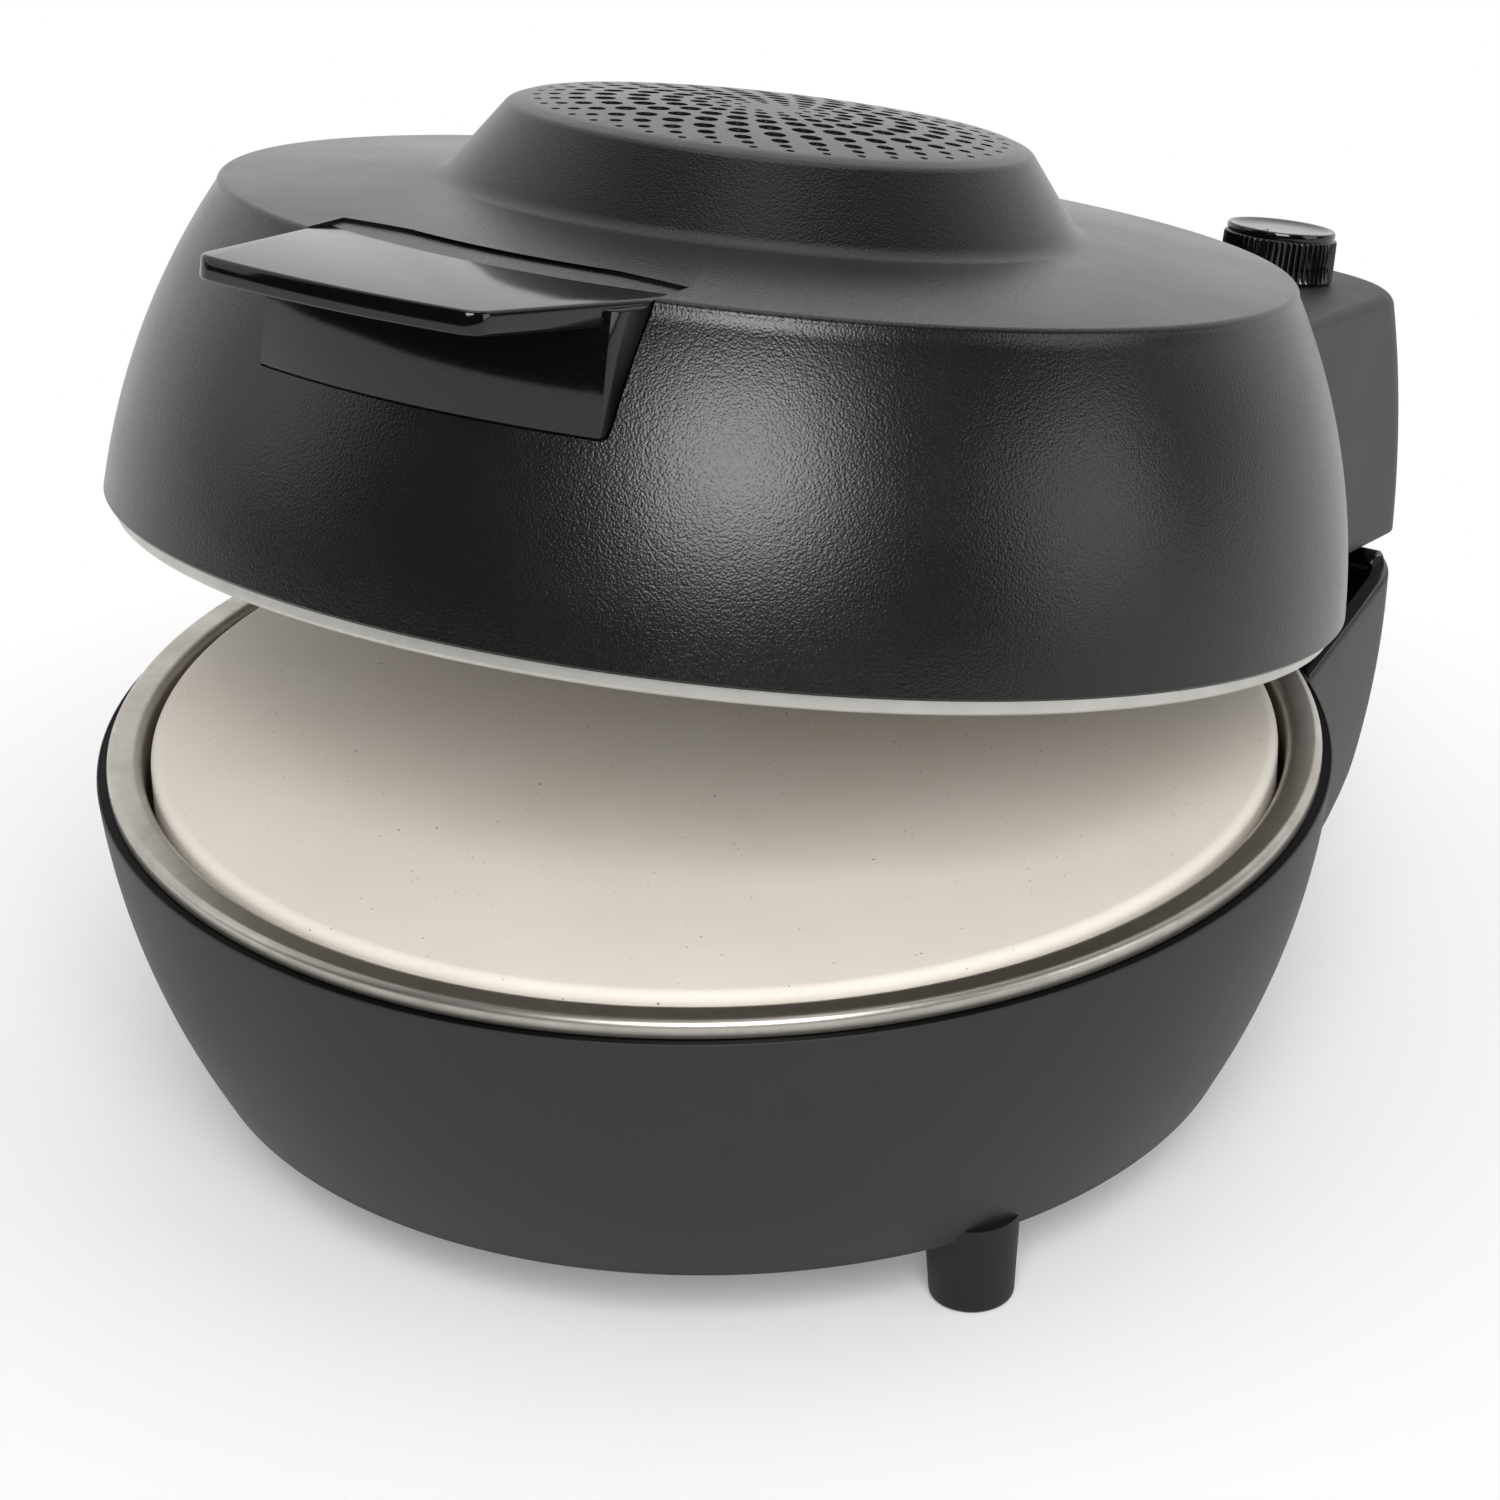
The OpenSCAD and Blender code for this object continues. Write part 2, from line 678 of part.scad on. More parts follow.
// Open ring of tube whose ends sit in two upright sleeves at the rear, which go to leg_z
module heating_ring(ring_r, ring_z, leg_z) {
    rotate([0, 0, 90 + ring_gap])
        translate([0, 0, ring_z])
        rotate_extrude(angle = 360 - 2 * ring_gap, $fn = fine)
        translate([ring_r, 0])
        circle(r = tube_r, $fn = round_n);
    sleeve_end = leg_z > ring_z ? ring_z - leg_r : ring_z + leg_r;
    for (side = [-1, 1]) {
        translate([side * ring_r * sin(ring_gap), ring_r * cos(ring_gap), min(sleeve_end, leg_z)])
            cylinder(r = leg_r, h = abs(leg_z - sleeve_end), $fn = round_n);
    }
}
module ring_channel(ring_r, ring_z) {
    translate([0, 0, ring_z])
        rotate_extrude($fn = fine)
        translate([ring_r, 0])
        circle(r = tube_r + holder_gap, $fn = round_n);
}
module lower_heating_element() {
    color([0.35, 0.33, 0.32])
        on_base()
        heating_ring(lower_ring_r, lower_ring_z, tray_floor_z - leg_depth);
}
module lower_element_holders() {
    color([0.75, 0.75, 0.73])
        on_base()
        difference() {
            for (turn = [-30, 90, 210]) {
                rotate([0, 0, turn - 180])
                    translate([lower_ring_r - holder_l / 2, -holder_w / 2, tray_floor_z])
                    cube([holder_l, holder_w, lower_ring_z - tray_floor_z]);
            }
            ring_channel(lower_ring_r, lower_ring_z);
        }
}
module base_terminal_block() {
    half_w = terminal_x + 3 * tube_r;
    color([0.9, 0.88, 0.82])
        on_base()
        difference() {
            translate([-half_w, terminal_y - 3 * tube_r, -tray_depth - terminal_h])
                cube([2 * half_w, 6 * tube_r, terminal_h]);
            for (side = [-1, 1]) {
                translate([side * terminal_x, terminal_y, tray_floor_z - leg_depth - 0.2])
                    cylinder(r = leg_r + holder_gap, h = terminal_h + past, $fn = round_n);
            }
        }
}

// The cord gland stands square to the fairing's rear wall, and is measured inwards from its face
function fairing_r(z) = fairing_rear_r + lookup(z, [for (point = fairing_side) [point[1], point[0]]]);
gland_tilt = atan((fairing_r(gland_z + past) - fairing_r(gland_z - past)) / 2 / past);
module at_gland() {
    rotate([0, 0, gland_turn])
        translate([0, fairing_r(gland_z), gland_z])
        rotate([-90 - gland_tilt, 0, 0])
        children();
}
function round_place(r, z) = [-r * sin(gland_turn), r * cos(gland_turn), z];
function gland_point(depth) =
    round_place(fairing_r(gland_z) - depth * cos(gland_tilt), gland_z + depth * sin(gland_tilt));

// Leads of the base: one run to the cord gland, one to the hollow left hinge pin
lead_z = floor_top_z + 2 * lead_r;
module base_wiring() {
    block_z = -tray_depth - terminal_h;
    turn_x = pin_inner_x - 10;
    under_z = hinge_z - block_drop - block_h - 4 * lead_r;
    behind_y = hinge_y + block_reach + 4 * lead_r;
    in_pin_x = knuckle_x + knuckle_w + knuckle_gap / 2;
    color([0.55, 0.2, 0.15])
        on_base() {
            lead([[-terminal_x, terminal_y, block_z], [-terminal_x, terminal_y, lead_z + gland_r],
                  round_place(bowl_floor_r - 8 * base_wall, lead_z), round_place(base_r, lead_z),
                  gland_point(4 * base_wall), gland_point(base_wall)], lead_r);
            lead([[-turn_x, hinge_y, well_floor_z], [-turn_x, hinge_y, under_z - 4 * lead_r],
                  [-turn_x, behind_y, under_z], [-turn_x, behind_y, hinge_z - knuckle_r],
                  [-turn_x, hinge_y, hinge_z], [-in_pin_x, hinge_y, hinge_z]], lead_r);
        }
}

module cord_gland() {
    color([0.03, 0.03, 0.03])
        on_base()
        at_gland()
        difference() {
            union() {
                translate([0, 0, -1.5 * base_wall])
                    cylinder(r = gland_r - gland_gap, h = 2.5 * base_wall, $fn = round_n);
                translate([0, 0, gland_gap]) cylinder(r = gland_collar_r, h = base_wall, $fn = round_n);
            }
            cylinder(r = gland_bore_r, h = 8 * base_wall, center = true, $fn = round_n);
        }
}

// Lid: its outside as a path from the lower edge to the foot of the cap
lid_wall_arc = arc_between([lid_r, 0], [lid_top_r, lid_h - lid_corner_r / 2], lid_bulge, arc_steps);
lid_corner = [
    [lid_top_r - lid_corner_r / 3, lid_h - lid_corner_r / 6],
    [lid_top_r - lid_corner_r, lid_h + 0.2]
];
cap_seat_r = cap_foot_r + cap_gap;
cap_seat_s = cap_foot_h - cap_wall;
lid_path = concat(lid_wall_arc, lid_corner, [[cap_seat_r, cap_foot_h]]);
module lid_solid(spare) {
    turned_solid(concat([[0, -house_drop - past], [lid_r + 2, -house_drop - past], [lid_r + 2, -0.01]],
                        beside(lid_path, -spare), [[0, cap_foot_h]]));
}

module lid_shell() {
    inner = reversed(beside(lid_path, lid_wall));
    color([0.1, 0.1, 0.1])
        on_lid()
        difference() {
            turned_solid(concat(lid_path, [[cap_seat_r, cap_seat_s], [cap_foot_r - 3 * cap_wall, cap_seat_s],
                                           [cap_foot_r - 3 * cap_wall, cap_seat_s - lid_wall]],
                                [for (point = inner) [point[0], max(0, point[1])]]));
            handle_screw_places() cylinder(r = screw_r + 0.2, h = 4 * lid_wall, center = true, $fn = round_n);
            // Passage for the leads and the sensor's tube into the housing
            translate([knob_x - switch_w / 2, lid_top_r / 2, lead_pass_s - 4])
                cube([switch_w, lid_top_r, 8]);
        }
}

// Vent cap: a cone with a crowned top, and rings of holes that grow towards the middle ring
function vent_share(ring) = ring / (vent_rings - 1);
function vent_bunch(ring) = vent_bunching * sin(360 * vent_share(ring));
function vent_ring_r(ring) =
    vent_outer_r + (vent_inner_r - vent_outer_r) * (vent_share(ring) - vent_bunch(ring));
function vent_hole_r(ring) = vent_small + (vent_large - vent_small) * pow(sin(180 * vent_share(ring)), 1.3);
function vent_count(ring) = vent_outer_count - vent_step_count * ring;
function crown_s(r) = cap_edge_h + cap_crown * (1 - pow(r / cap_top_r, 2));
// The crown rises in flat terraces, one for each ring of holes, which meet between the rings
terrace_lap = 0.4;
function terrace_r(ring) =
    ring == 0 ? (vent_ring_r(0) + cap_top_r) / 2 : (vent_ring_r(ring) + vent_ring_r(ring - 1)) / 2;
module vent_terrace(ring) {
    inner_r = ring == vent_rings - 1 ? 0 : terrace_r(ring + 1) - terrace_lap;
    translate([0, 0, crown_s(vent_ring_r(ring)) - cap_wall])
        linear_extrude(cap_wall)
        difference() {
            circle(r = terrace_r(ring), $fn = fine);
            if (inner_r > 0) {
                circle(r = inner_r, $fn = fine);
            }
            for (i = [0 : vent_count(ring) - 1]) {
                rotate(vent_start - 90 + 360 * i / vent_count(ring))
                    translate([vent_ring_r(ring), 0])
                    circle(r = vent_hole_r(ring), $fn = 24);
            }
        }
}
module vent_cap() {
    corner = [[cap_top_r + 0.6, cap_edge_h - 0.9], [cap_top_r - 0.7, cap_edge_h + 0.1]];
    crown = [[terrace_r(0) - terrace_lap, cap_edge_h + 0.3]];
    path = concat([[cap_foot_r, cap_seat_s], [cap_foot_r, cap_foot_h]], corner, crown);
    color([0.12, 0.12, 0.115])
        on_lid() {
            turned_solid(sheet_outline(path, cap_wall));
            for (ring = [0 : vent_rings - 1]) {
                vent_terrace(ring);
            }
        }
}

// Handle: a block on the lid's wall and a thin shelf level with the lid's top
module shelf_outline() {
    front_y = sqrt(pow(shelf_r, 2) - pow(shelf_half_w, 2));
    back_y = sqrt(pow(lid_top_r, 2) - pow(handle_half_w, 2));
    right = [[handle_half_w, -back_y / 2], [handle_half_w, -back_y], [shelf_half_w, -front_y]];
    left = [for (point = reversed(right)) [-point[0], point[1]]];
    front = [[shelf_half_w, -shelf_r - past], [-shelf_half_w, -shelf_r - past]];
    difference() {
        intersection() {
            circle(r = shelf_r, $fn = fine);
            polygon(concat(right, front, left));
        }
        for (side = [-1, 1]) {
            translate([side * (shelf_half_w - shelf_corner_r / 2), -front_y + shelf_corner_r / 2])
                difference() {
                    translate([side * shelf_corner_r / 2, -shelf_corner_r / 2])
                        square(shelf_corner_r + 2 * past, center = true);
                    circle(r = shelf_corner_r, $fn = round_n);
                    translate([-side * shelf_corner_r, 0])
                        square([2 * shelf_corner_r, 4 * shelf_corner_r], center = true);
                }
        }
    }
}
module handle() {
    color([0.05, 0.05, 0.05])
        on_lid()
        difference() {
            union() {
                translate([0, 0, lid_h - shelf_t]) linear_extrude(shelf_t) shelf_outline();
                intersection() {
                    translate([-handle_half_w, -shelf_r, handle_low])
                        cube([2 * handle_half_w, shelf_r - lid_top_r / 2, lid_h - handle_low]);
                    cylinder(r = handle_face_r, h = lid_h, $fn = fine);
                }
            }
            lid_solid(0.02);
            handle_screw_places()
                cylinder(
                    r = screw_r, h = 2 * (lid_wall + screw_head_r + screw_head_h),
                    center = true, $fn = round_n
                );
        }
}
// The handle's two screws come from inside the lid's wall
handle_screw_s = (handle_low + lid_h - shelf_t) / 2;
function lid_wall_r(s) = lookup(s, [for (point = lid_wall_arc) [point[1], point[0]]]);
module handle_screw_places() {
    for (turn = [-10, 10]) {
        rotate([0, 0, turn])
            translate([0, -lid_wall_r(handle_screw_s) + lid_wall, handle_screw_s])
            rotate([90, 0, 0])
            children();
    }
}
module handle_screws() {
    // The heads stand off the sloping wall
    head_space = screw_head_r * (lid_r - lid_top_r) / lid_h + lid_wall / 4;
    color([0.6, 0.6, 0.6])
        on_lid()
        handle_screw_places()
        translate([0, 0, -head_space])
        screw(head_space + lid_wall + screw_head_r);
}

// Lid liner: a polished dome whose rolled rim hangs below the lid's edge
module lid_liner() {
    bend = 1;
    low_s = -lid_bead_drop;
    wall = arc_between([bead_inner_r - bend, low_s + 3 * bend], [liner_top_r, dome_h - 14], 9, 8);
    roof = [[liner_top_r - 12, dome_h - 3], [liner_top_r - 22, dome_h], [0, dome_h]];
    path = concat([[bead_outer_r, 2], [bead_outer_r, low_s + bend], [bead_outer_r - bend, low_s],
                   [bead_inner_r + bend, low_s], [bead_inner_r, low_s + bend]], wall, roof);
    color([0.75, 0.75, 0.74])
        on_lid()
        difference() {
            turned_solid(sheet_outline(path, -sheet));
            for (side = [-1, 1]) {
                translate([side * upper_ring_r * sin(ring_gap), upper_ring_r * cos(ring_gap), dome_h - past])
                    cylinder(r = leg_r + sheet / 2, h = 3 * past, $fn = round_n);
            }
        }
}
module insulation_pad() {
    color([0.85, 0.83, 0.76])
        on_lid()
        translate([0, 0, pad_low_s])
        cylinder(r = pad_r, h = pad_t, $fn = fine);
}
module upper_heating_element() {
    color([0.35, 0.33, 0.32]) on_lid() heating_ring(upper_ring_r, upper_ring_s, upper_leg_s);
}
module upper_element_holders() {
    color([0.75, 0.75, 0.73])
        on_lid()
        difference() {
            for (turn = [-30, 90, 210]) {
                rotate([0, 0, turn - 180])
                    translate([upper_ring_r - holder_l / 2, -holder_w / 2, upper_ring_s])
                    cube([holder_l, holder_w, dome_h - upper_ring_s]);
            }
            ring_channel(upper_ring_r, upper_ring_s);
        }
}

// Control housing: slices that narrow towards the rear and the top
house_rear = arc_between([house_low_r, -house_drop], [house_high_r, house_h], house_bulge, 6);
function house_share(s) = (s + house_drop) / (house_h + house_drop);
function house_half_w(s) = house_low_w + (house_high_w - house_low_w) * house_share(s);
function house_rear_r(s) = lookup(s, [for (point = house_rear) [point[1], point[0]]]);
module house_outline(s, inset) {
    front_y = lid_top_r / 2;
    rear_y = house_low_r + past;
    front_x = house_half_w(s) + (house_ref_y - front_y) * house_taper;
    rear_x = house_half_w(s) + (house_ref_y - rear_y) * house_taper;
    offset(delta = -inset)
        offset(r = house_corner_r, $fn = round_n)
        offset(delta = -house_corner_r)
        intersection() {
            circle(r = house_rear_r(s), $fn = fine / 2);
            polygon([[-front_x, front_y], [front_x, front_y], [rear_x, rear_y], [-rear_x, rear_y]]);
        }
}
module house_solid(inset, low_s, top_s) {
    side = [for (i = [0 : 5]) [low_s + (top_s - house_edge_r - low_s) * i / 5, 0]];
    edge = [for (t = [22.5 : 22.5 : 90]) [top_s - house_edge_r * (1 - sin(t)), house_edge_r * (1 - cos(t))]];
    hull()
        for (level = concat(side, edge)) {
            translate([0, 0, level[0]]) linear_extrude(slice) house_outline(level[0], inset + level[1]);
        }
}
module control_housing() {
    color([0.2, 0.205, 0.195])
        on_lid()
        difference() {
            house_solid(0, -house_drop, house_h);
            house_solid(house_wall, -house_drop - past, house_under_s);
            lid_solid(0.02);
            translate([knob_x, knob_y, house_under_s - past])
                cylinder(r = shaft_r + 0.4, h = house_wall + 2 * past, $fn = round_n);
        }
}
module housing_floor() {
    color([0.15, 0.15, 0.15])
        on_lid()
        difference() {
            intersection() {
                house_solid(house_wall + 0.15, -house_drop, house_under_s);
                translate([-house_low_w, 0, house_floor_h])
                    cube([2 * house_low_w, house_low_r, house_floor_t]);
            }
            lid_solid(0.3);
            floor_screw_places() cylinder(r = screw_r, h = 8 * screw_r, center = true, $fn = round_n);
        }
}

// Lid knuckles: two arms under the housing's floor, with flanges screwed to it
knuckle_mid_x = knuckle_x + knuckle_w + knuckle_gap / 2;
lid_knuckle_w = knuckle_gap - 2 * side_gap;
flange_half_w = lid_knuckle_w + screw_head_r;
module lid_knuckles() {
    color([0.1, 0.1, 0.1])
        on_lid()
        both_sides()
        difference() {
            union() {
                translate([knuckle_mid_x - lid_knuckle_w / 2, hinge_y, lid_hinge_s]) {
                    rotate([0, 90, 0]) cylinder(r = knuckle_r, h = lid_knuckle_w, $fn = round_n);
                    translate([0, -knuckle_r, 0])
                        cube([lid_knuckle_w, 2 * knuckle_r, house_floor_h - lid_hinge_s]);
                }
                translate([knuckle_mid_x - flange_half_w, hinge_y - knuckle_r, house_floor_h - flange_t])
                    cube([2 * flange_half_w, 2 * knuckle_r, flange_t]);
            }
            translate([0, hinge_y, lid_hinge_s])
                rotate([0, 90, 0])
                cylinder(r = pin_r + running_fit, h = base_r, $fn = round_n);
            floor_screw_places() cylinder(r = screw_r, h = 8 * screw_r, center = true, $fn = round_n);
        }
}
module floor_screw_places() {
    for (side = [-1, 1]) {
        for (x = [-1, 1]) {
            translate([side * (knuckle_mid_x + x * lid_knuckle_w), hinge_y, house_floor_h]) children();
        }
    }
}
module floor_screws() {
    color([0.6, 0.6, 0.6])
        on_lid()
        floor_screw_places()
        translate([0, 0, -flange_t])
        screw(flange_t + house_floor_t);
}

module thermostat() {
    color([0.8, 0.76, 0.66])
        on_lid()
        translate([knob_x, knob_y, switch_top_s])
        difference() {
            union() {
                translate([-switch_w / 2, -switch_w / 2, -switch_h]) cube([switch_w, switch_w, switch_h]);
                cylinder(r = bush_r, h = bush_h, $fn = round_n);
            }
            translate([0, 0, bush_h - shaft_in_switch])
                cylinder(r = shaft_r + running_fit, h = shaft_in_switch + past, $fn = round_n);
        }
}
lead_pass_s = switch_top_s - switch_h / 2;
lead_rise_y = lid_top_r - 6 * lead_r;
lead_space = 0.6 * lead_r;
module sensor_tube() {
    line_r = 1;
    bulb_r = 3;
    switch_y = knob_y - switch_w / 2 - lead_space;
    bulb = [knob_x - 10, upper_ring_r + 4, dome_h + sheet + bulb_r + 0.2];
    color([0.72, 0.45, 0.3])
        on_lid() {
            lead([[knob_x + 8, switch_y, lead_pass_s], [knob_x + 8, lead_rise_y, lead_pass_s + 2],
                  [knob_x - 5, upper_ring_r + 16, dome_h - 1], bulb + [2, 0, 0]], line_r);
            bar(bulb + [3, 0, 0], bulb - [24, 0, 0], bulb_r, round_n);
        }
}
module thermal_fuse() {
    fuse_r = 2.5;
    color([0.85, 0.85, 0.8])
        on_lid()
        translate([-pad_r / 2 - fuse_r, pad_r - fuse_r, pad_low_s + fuse_r])
        rotate([0, 90, 0])
        cylinder(r = fuse_r, h = 14, $fn = round_n);
}
// Leads of the lid: from the element's leg to the thermostat, and from there to the left hinge pin
module lid_wiring() {
    leg_x = upper_ring_r * sin(ring_gap);
    leg_y = upper_ring_r * cos(ring_gap);
    switch_y = knob_y - switch_w / 2 - lead_space;
    switch_x = knob_x - switch_w / 2 - lead_space;
    low_s = floor_upper_s + 2 * lead_r;
    color([0.55, 0.2, 0.15])
        on_lid() {
            lead([[leg_x, leg_y, upper_leg_s + lead_r], [leg_x, leg_y + 11 * lead_r, upper_leg_s + lead_r],
                  [knob_x - 8, lead_rise_y + 3 * lead_r, lead_pass_s + 2 * lead_r],
                  [knob_x - 8, switch_y, lead_pass_s]], lead_r);
            lead([[switch_x, knob_y, lead_pass_s], [0, knob_y + 20, low_s],
                  [-knuckle_mid_x, knob_y + 20, low_s]], lead_r);
        }
}

// Knob: a ribbed skirt with a smooth top, on the control shaft
module knob() {
    shaft_top = knob_gap + shaft_in_knob;
    color([0.04, 0.04, 0.04])
        on_lid()
        translate([knob_x, knob_y, knob_low_s])
        difference() {
            union() {
                linear_extrude(knob_skirt_h)
                    polygon([for (i = [0 : 2 * knob_ribs - 1])
                        (knob_r - (i % 2) * rib_depth) * across(180 * i / knob_ribs)]);
                cylinder(r = knob_top_r, h = knob_skirt_h + knob_top_h, $fn = fine);
            }
            translate([0, 0, -past]) cylinder(r = shaft_r + running_fit, h = shaft_top + past, $fn = round_n);
        }
}
module control_shaft() {
    low_s = house_under_s - shaft_in_switch + 0.2;
    color([0.7, 0.7, 0.7])
        on_lid()
        translate([knob_x, knob_y, low_s])
        cylinder(r = shaft_r, h = knob_low_s + shaft_in_knob - low_s, $fn = round_n);
}

base_shell();
rim_frame();
hinge_well_liner();
hinge_block();
hinge_pin_right();
hinge_pin_left();
bottom_cover();
bottom_screws();
foot_front_right();
foot_front_left();
foot_rear();
steel_tray();
pizza_stone();
stone_supports();
lower_heating_element();
lower_element_holders();
base_terminal_block();
base_wiring();
cord_gland();
lid_shell();
vent_cap();
handle();
handle_screws();
lid_liner();
insulation_pad();
upper_heating_element();
upper_element_holders();
control_housing();
housing_floor();
lid_knuckles();
floor_screws();
thermostat();
sensor_tube();
thermal_fuse();
lid_wiring();
knob();
control_shaft();
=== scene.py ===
# %% [markdown]
# # A round electric pizza maker on its CAD frame
#
# The frame holds every solid of the real object, at true size and with its joints. This lesson dresses that
# frame: the moulded, pressed and fired pieces that the eye meets first are modelled again with soft edges
# and fine detail, and the small parts inside keep their CAD shape and get a finish.

# %% Load the frame
import math

import bmesh
import bpy
from mathutils import Matrix, Vector, geometry


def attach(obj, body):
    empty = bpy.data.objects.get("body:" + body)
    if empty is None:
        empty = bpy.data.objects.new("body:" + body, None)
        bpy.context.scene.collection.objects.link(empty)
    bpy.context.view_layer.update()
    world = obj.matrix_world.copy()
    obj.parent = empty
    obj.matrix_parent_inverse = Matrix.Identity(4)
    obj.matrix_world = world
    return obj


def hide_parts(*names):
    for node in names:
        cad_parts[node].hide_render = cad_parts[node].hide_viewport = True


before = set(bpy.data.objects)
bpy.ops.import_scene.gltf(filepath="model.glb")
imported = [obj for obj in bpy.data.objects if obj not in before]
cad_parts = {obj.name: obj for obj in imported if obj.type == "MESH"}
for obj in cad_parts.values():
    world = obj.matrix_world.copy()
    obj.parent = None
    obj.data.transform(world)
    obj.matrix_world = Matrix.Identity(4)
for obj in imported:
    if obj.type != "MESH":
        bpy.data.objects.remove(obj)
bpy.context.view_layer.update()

# %% [markdown]
# ## Two drawing frames
#
# The base is drawn from its rim, and the lid from its own lower edge as if it were closed. Both are
# measured in millimetres. The lid then turns about the hinge to the angle at which it stands ajar, so a
# piece of the lid is drawn upright and comes out tilted.

# %% Drawing frames
MM = 0.001
STONE_RISE = 5.5
HINGE_Y = 195
HINGE_DROP = 2.55
LID_EDGE = 11.2
LID_OPEN = math.radians(13.5)

BASE = Matrix.Translation((0, 0, -STONE_RISE * MM))
LID = (
    BASE
    @ Matrix.Translation((0, HINGE_Y * MM, -HINGE_DROP * MM))
    @ Matrix.Rotation(-LID_OPEN, 4, "X")
    @ Matrix.Translation((0, -HINGE_Y * MM, (HINGE_DROP + LID_EDGE) * MM))
)
print("middle of the lid's lower edge", [round(value, 4) for value in LID.translation])

# %% [markdown]
# ## Outlines
#
# Most pieces here are turned or moulded, so they start from an outline: a run of points with a rounding at
# each corner. Real moulds can't make a sharp edge, and the thin line of light along a rounded edge is what
# makes a render look solid.

# %% Outline helpers
def arc(start, end, sag, steps=16):
    """Points from start to end on an arc that bulges by sag to the right of its direction."""
    a, b = Vector(start), Vector(end)
    chord = (b - a).length
    along = (b - a) / chord
    out = Vector((along.y, -along.x))
    radius = (chord * chord / 4 + sag * sag) / (2 * sag)
    centre = (a + b) / 2 - out * (radius - sag)
    half = math.asin(chord / 2 / radius)
    points = []
    for i in range(steps + 1):
        turn = -half + 2 * half * i / steps
        points.append(tuple(centre + radius * (out * math.cos(turn) + along * math.sin(turn))))
    return points


def rounded(corners, steps=6):
    """A closed outline whose corners (x, y, radius) are rounded. A radius of 0 keeps a corner."""
    outline = []
    count = len(corners)
    for i, (x, y, radius) in enumerate(corners):
        here = Vector((x, y))
        if radius == 0:
            outline.append((x, y))
            continue
        back = (Vector(corners[i - 1][:2]) - here).normalized()
        ahead = (Vector(corners[(i + 1) % count][:2]) - here).normalized()
        half = back.angle(ahead) / 2
        middle = (back + ahead).normalized()
        centre = here + middle * (radius / math.sin(half))
        first = here + back * (radius / math.tan(half)) - centre
        last = here + ahead * (radius / math.tan(half)) - centre
        sweep = first.angle_signed(last)
        for k in range(steps + 1):
            outline.append(tuple(centre + Matrix.Rotation(-sweep * k / steps, 2) @ first))
    return outline


def beside(path, distance):
    """The path moved sideways, to the left of its direction."""
    moved = []
    for i, point in enumerate(path):
        before = Vector(path[max(i - 1, 0)])
        after = Vector(path[min(i + 1, len(path) - 1)])
        along = (after - before).normalized()
        moved.append((point[0] - along.y * distance, point[1] + along.x * distance))
    return moved


square = rounded([(0, 0, 2), (20, 0, 2), (20, 20, 2), (0, 20, 2)])
print("a rounded square has", len(square), "points from", square[0], "to", square[-1])

# %% [markdown]
# ## From outlines to meshes
#
# A lathe turns an outline round the upright axis, and a loft joins rings of equal count with quads. Both
# give clean, closed meshes. `finished` puts the mesh into the world, says which body carries it and which
# CAD nodes it stands for, and keeps a crease only where the surface really turns a corner.

# %% Mesh helpers
TURN_STEPS = 240
CREASE = math.radians(32)


def lathe(outline, steps=TURN_STEPS):
    """Vertices and faces of a closed outline of (radius, height) turned round Z."""
    count = len(outline)
    verts = []
    for i in range(steps):
        turn = 2 * math.pi * i / steps
        verts += [(r * math.sin(turn), -r * math.cos(turn), z) for r, z in outline]
    faces = []
    for i in range(steps):
        low, high = i * count, (i + 1) % steps * count
        faces += [(low + k, low + (k + 1) % count, high + (k + 1) % count, high + k) for k in range(count)]
    return verts, faces


def loft(rings):
    """Vertices and faces of a closed solid through rings of (x, y, z), flat at both ends."""
    count = len(rings[0])
    verts = [point for ring in rings for point in ring]
    faces = []
    for i in range(len(rings) - 1):
        low, high = i * count, (i + 1) * count
        faces += [(low + k, low + (k + 1) % count, high + (k + 1) % count, high + k) for k in range(count)]
    faces.append(tuple(range(count - 1, -1, -1)))
    faces.append(tuple((len(rings) - 1) * count + k for k in range(count)))
    return verts, faces


def together(*shapes):
    """Several meshes as one."""
    verts, faces = [], []
    for some_verts, some_faces in shapes:
        start = len(verts)
        verts += some_verts
        faces += [tuple(start + k for k in face) for face in some_faces]
    return verts, faces


def mesh_object(name, shape, place=Matrix.Identity(4)):
    """An object whose mesh holds the shape, drawn in millimetres, at its place in the world."""
    verts, faces = shape
    mesh = bpy.data.meshes.new(name)
    mesh.from_pydata([place @ (Vector(point) * MM) for point in verts], [], faces)
    work = bmesh.new()
    work.from_mesh(mesh)
    bmesh.ops.remove_doubles(work, verts=work.verts, dist=0.004 * MM)
    bmesh.ops.dissolve_degenerate(work, edges=work.edges, dist=0.002 * MM)
    bmesh.ops.recalc_face_normals(work, faces=work.faces)
    work.to_mesh(mesh)
    work.free()
    piece = bpy.data.objects.new(name, mesh)
    bpy.context.scene.collection.objects.link(piece)
    return piece


def cut_with(piece, cutter):
    """Cuts one object out of another, and deletes the cutter."""
    change = piece.modifiers.new("cut", "BOOLEAN")
    change.object = cutter
    change.operation = "DIFFERENCE"
    change.solver = "EXACT"
    graph = bpy.context.evaluated_depsgraph_get()
    mesh = bpy.data.meshes.new_from_object(piece.evaluated_get(graph))
    piece.modifiers.clear()
    piece.data = mesh
    bpy.data.objects.remove(cutter)


def cut(piece, shape, place):
    """Cuts a shape out of a piece."""
    cut_with(piece, mesh_object("cutter", shape, place))


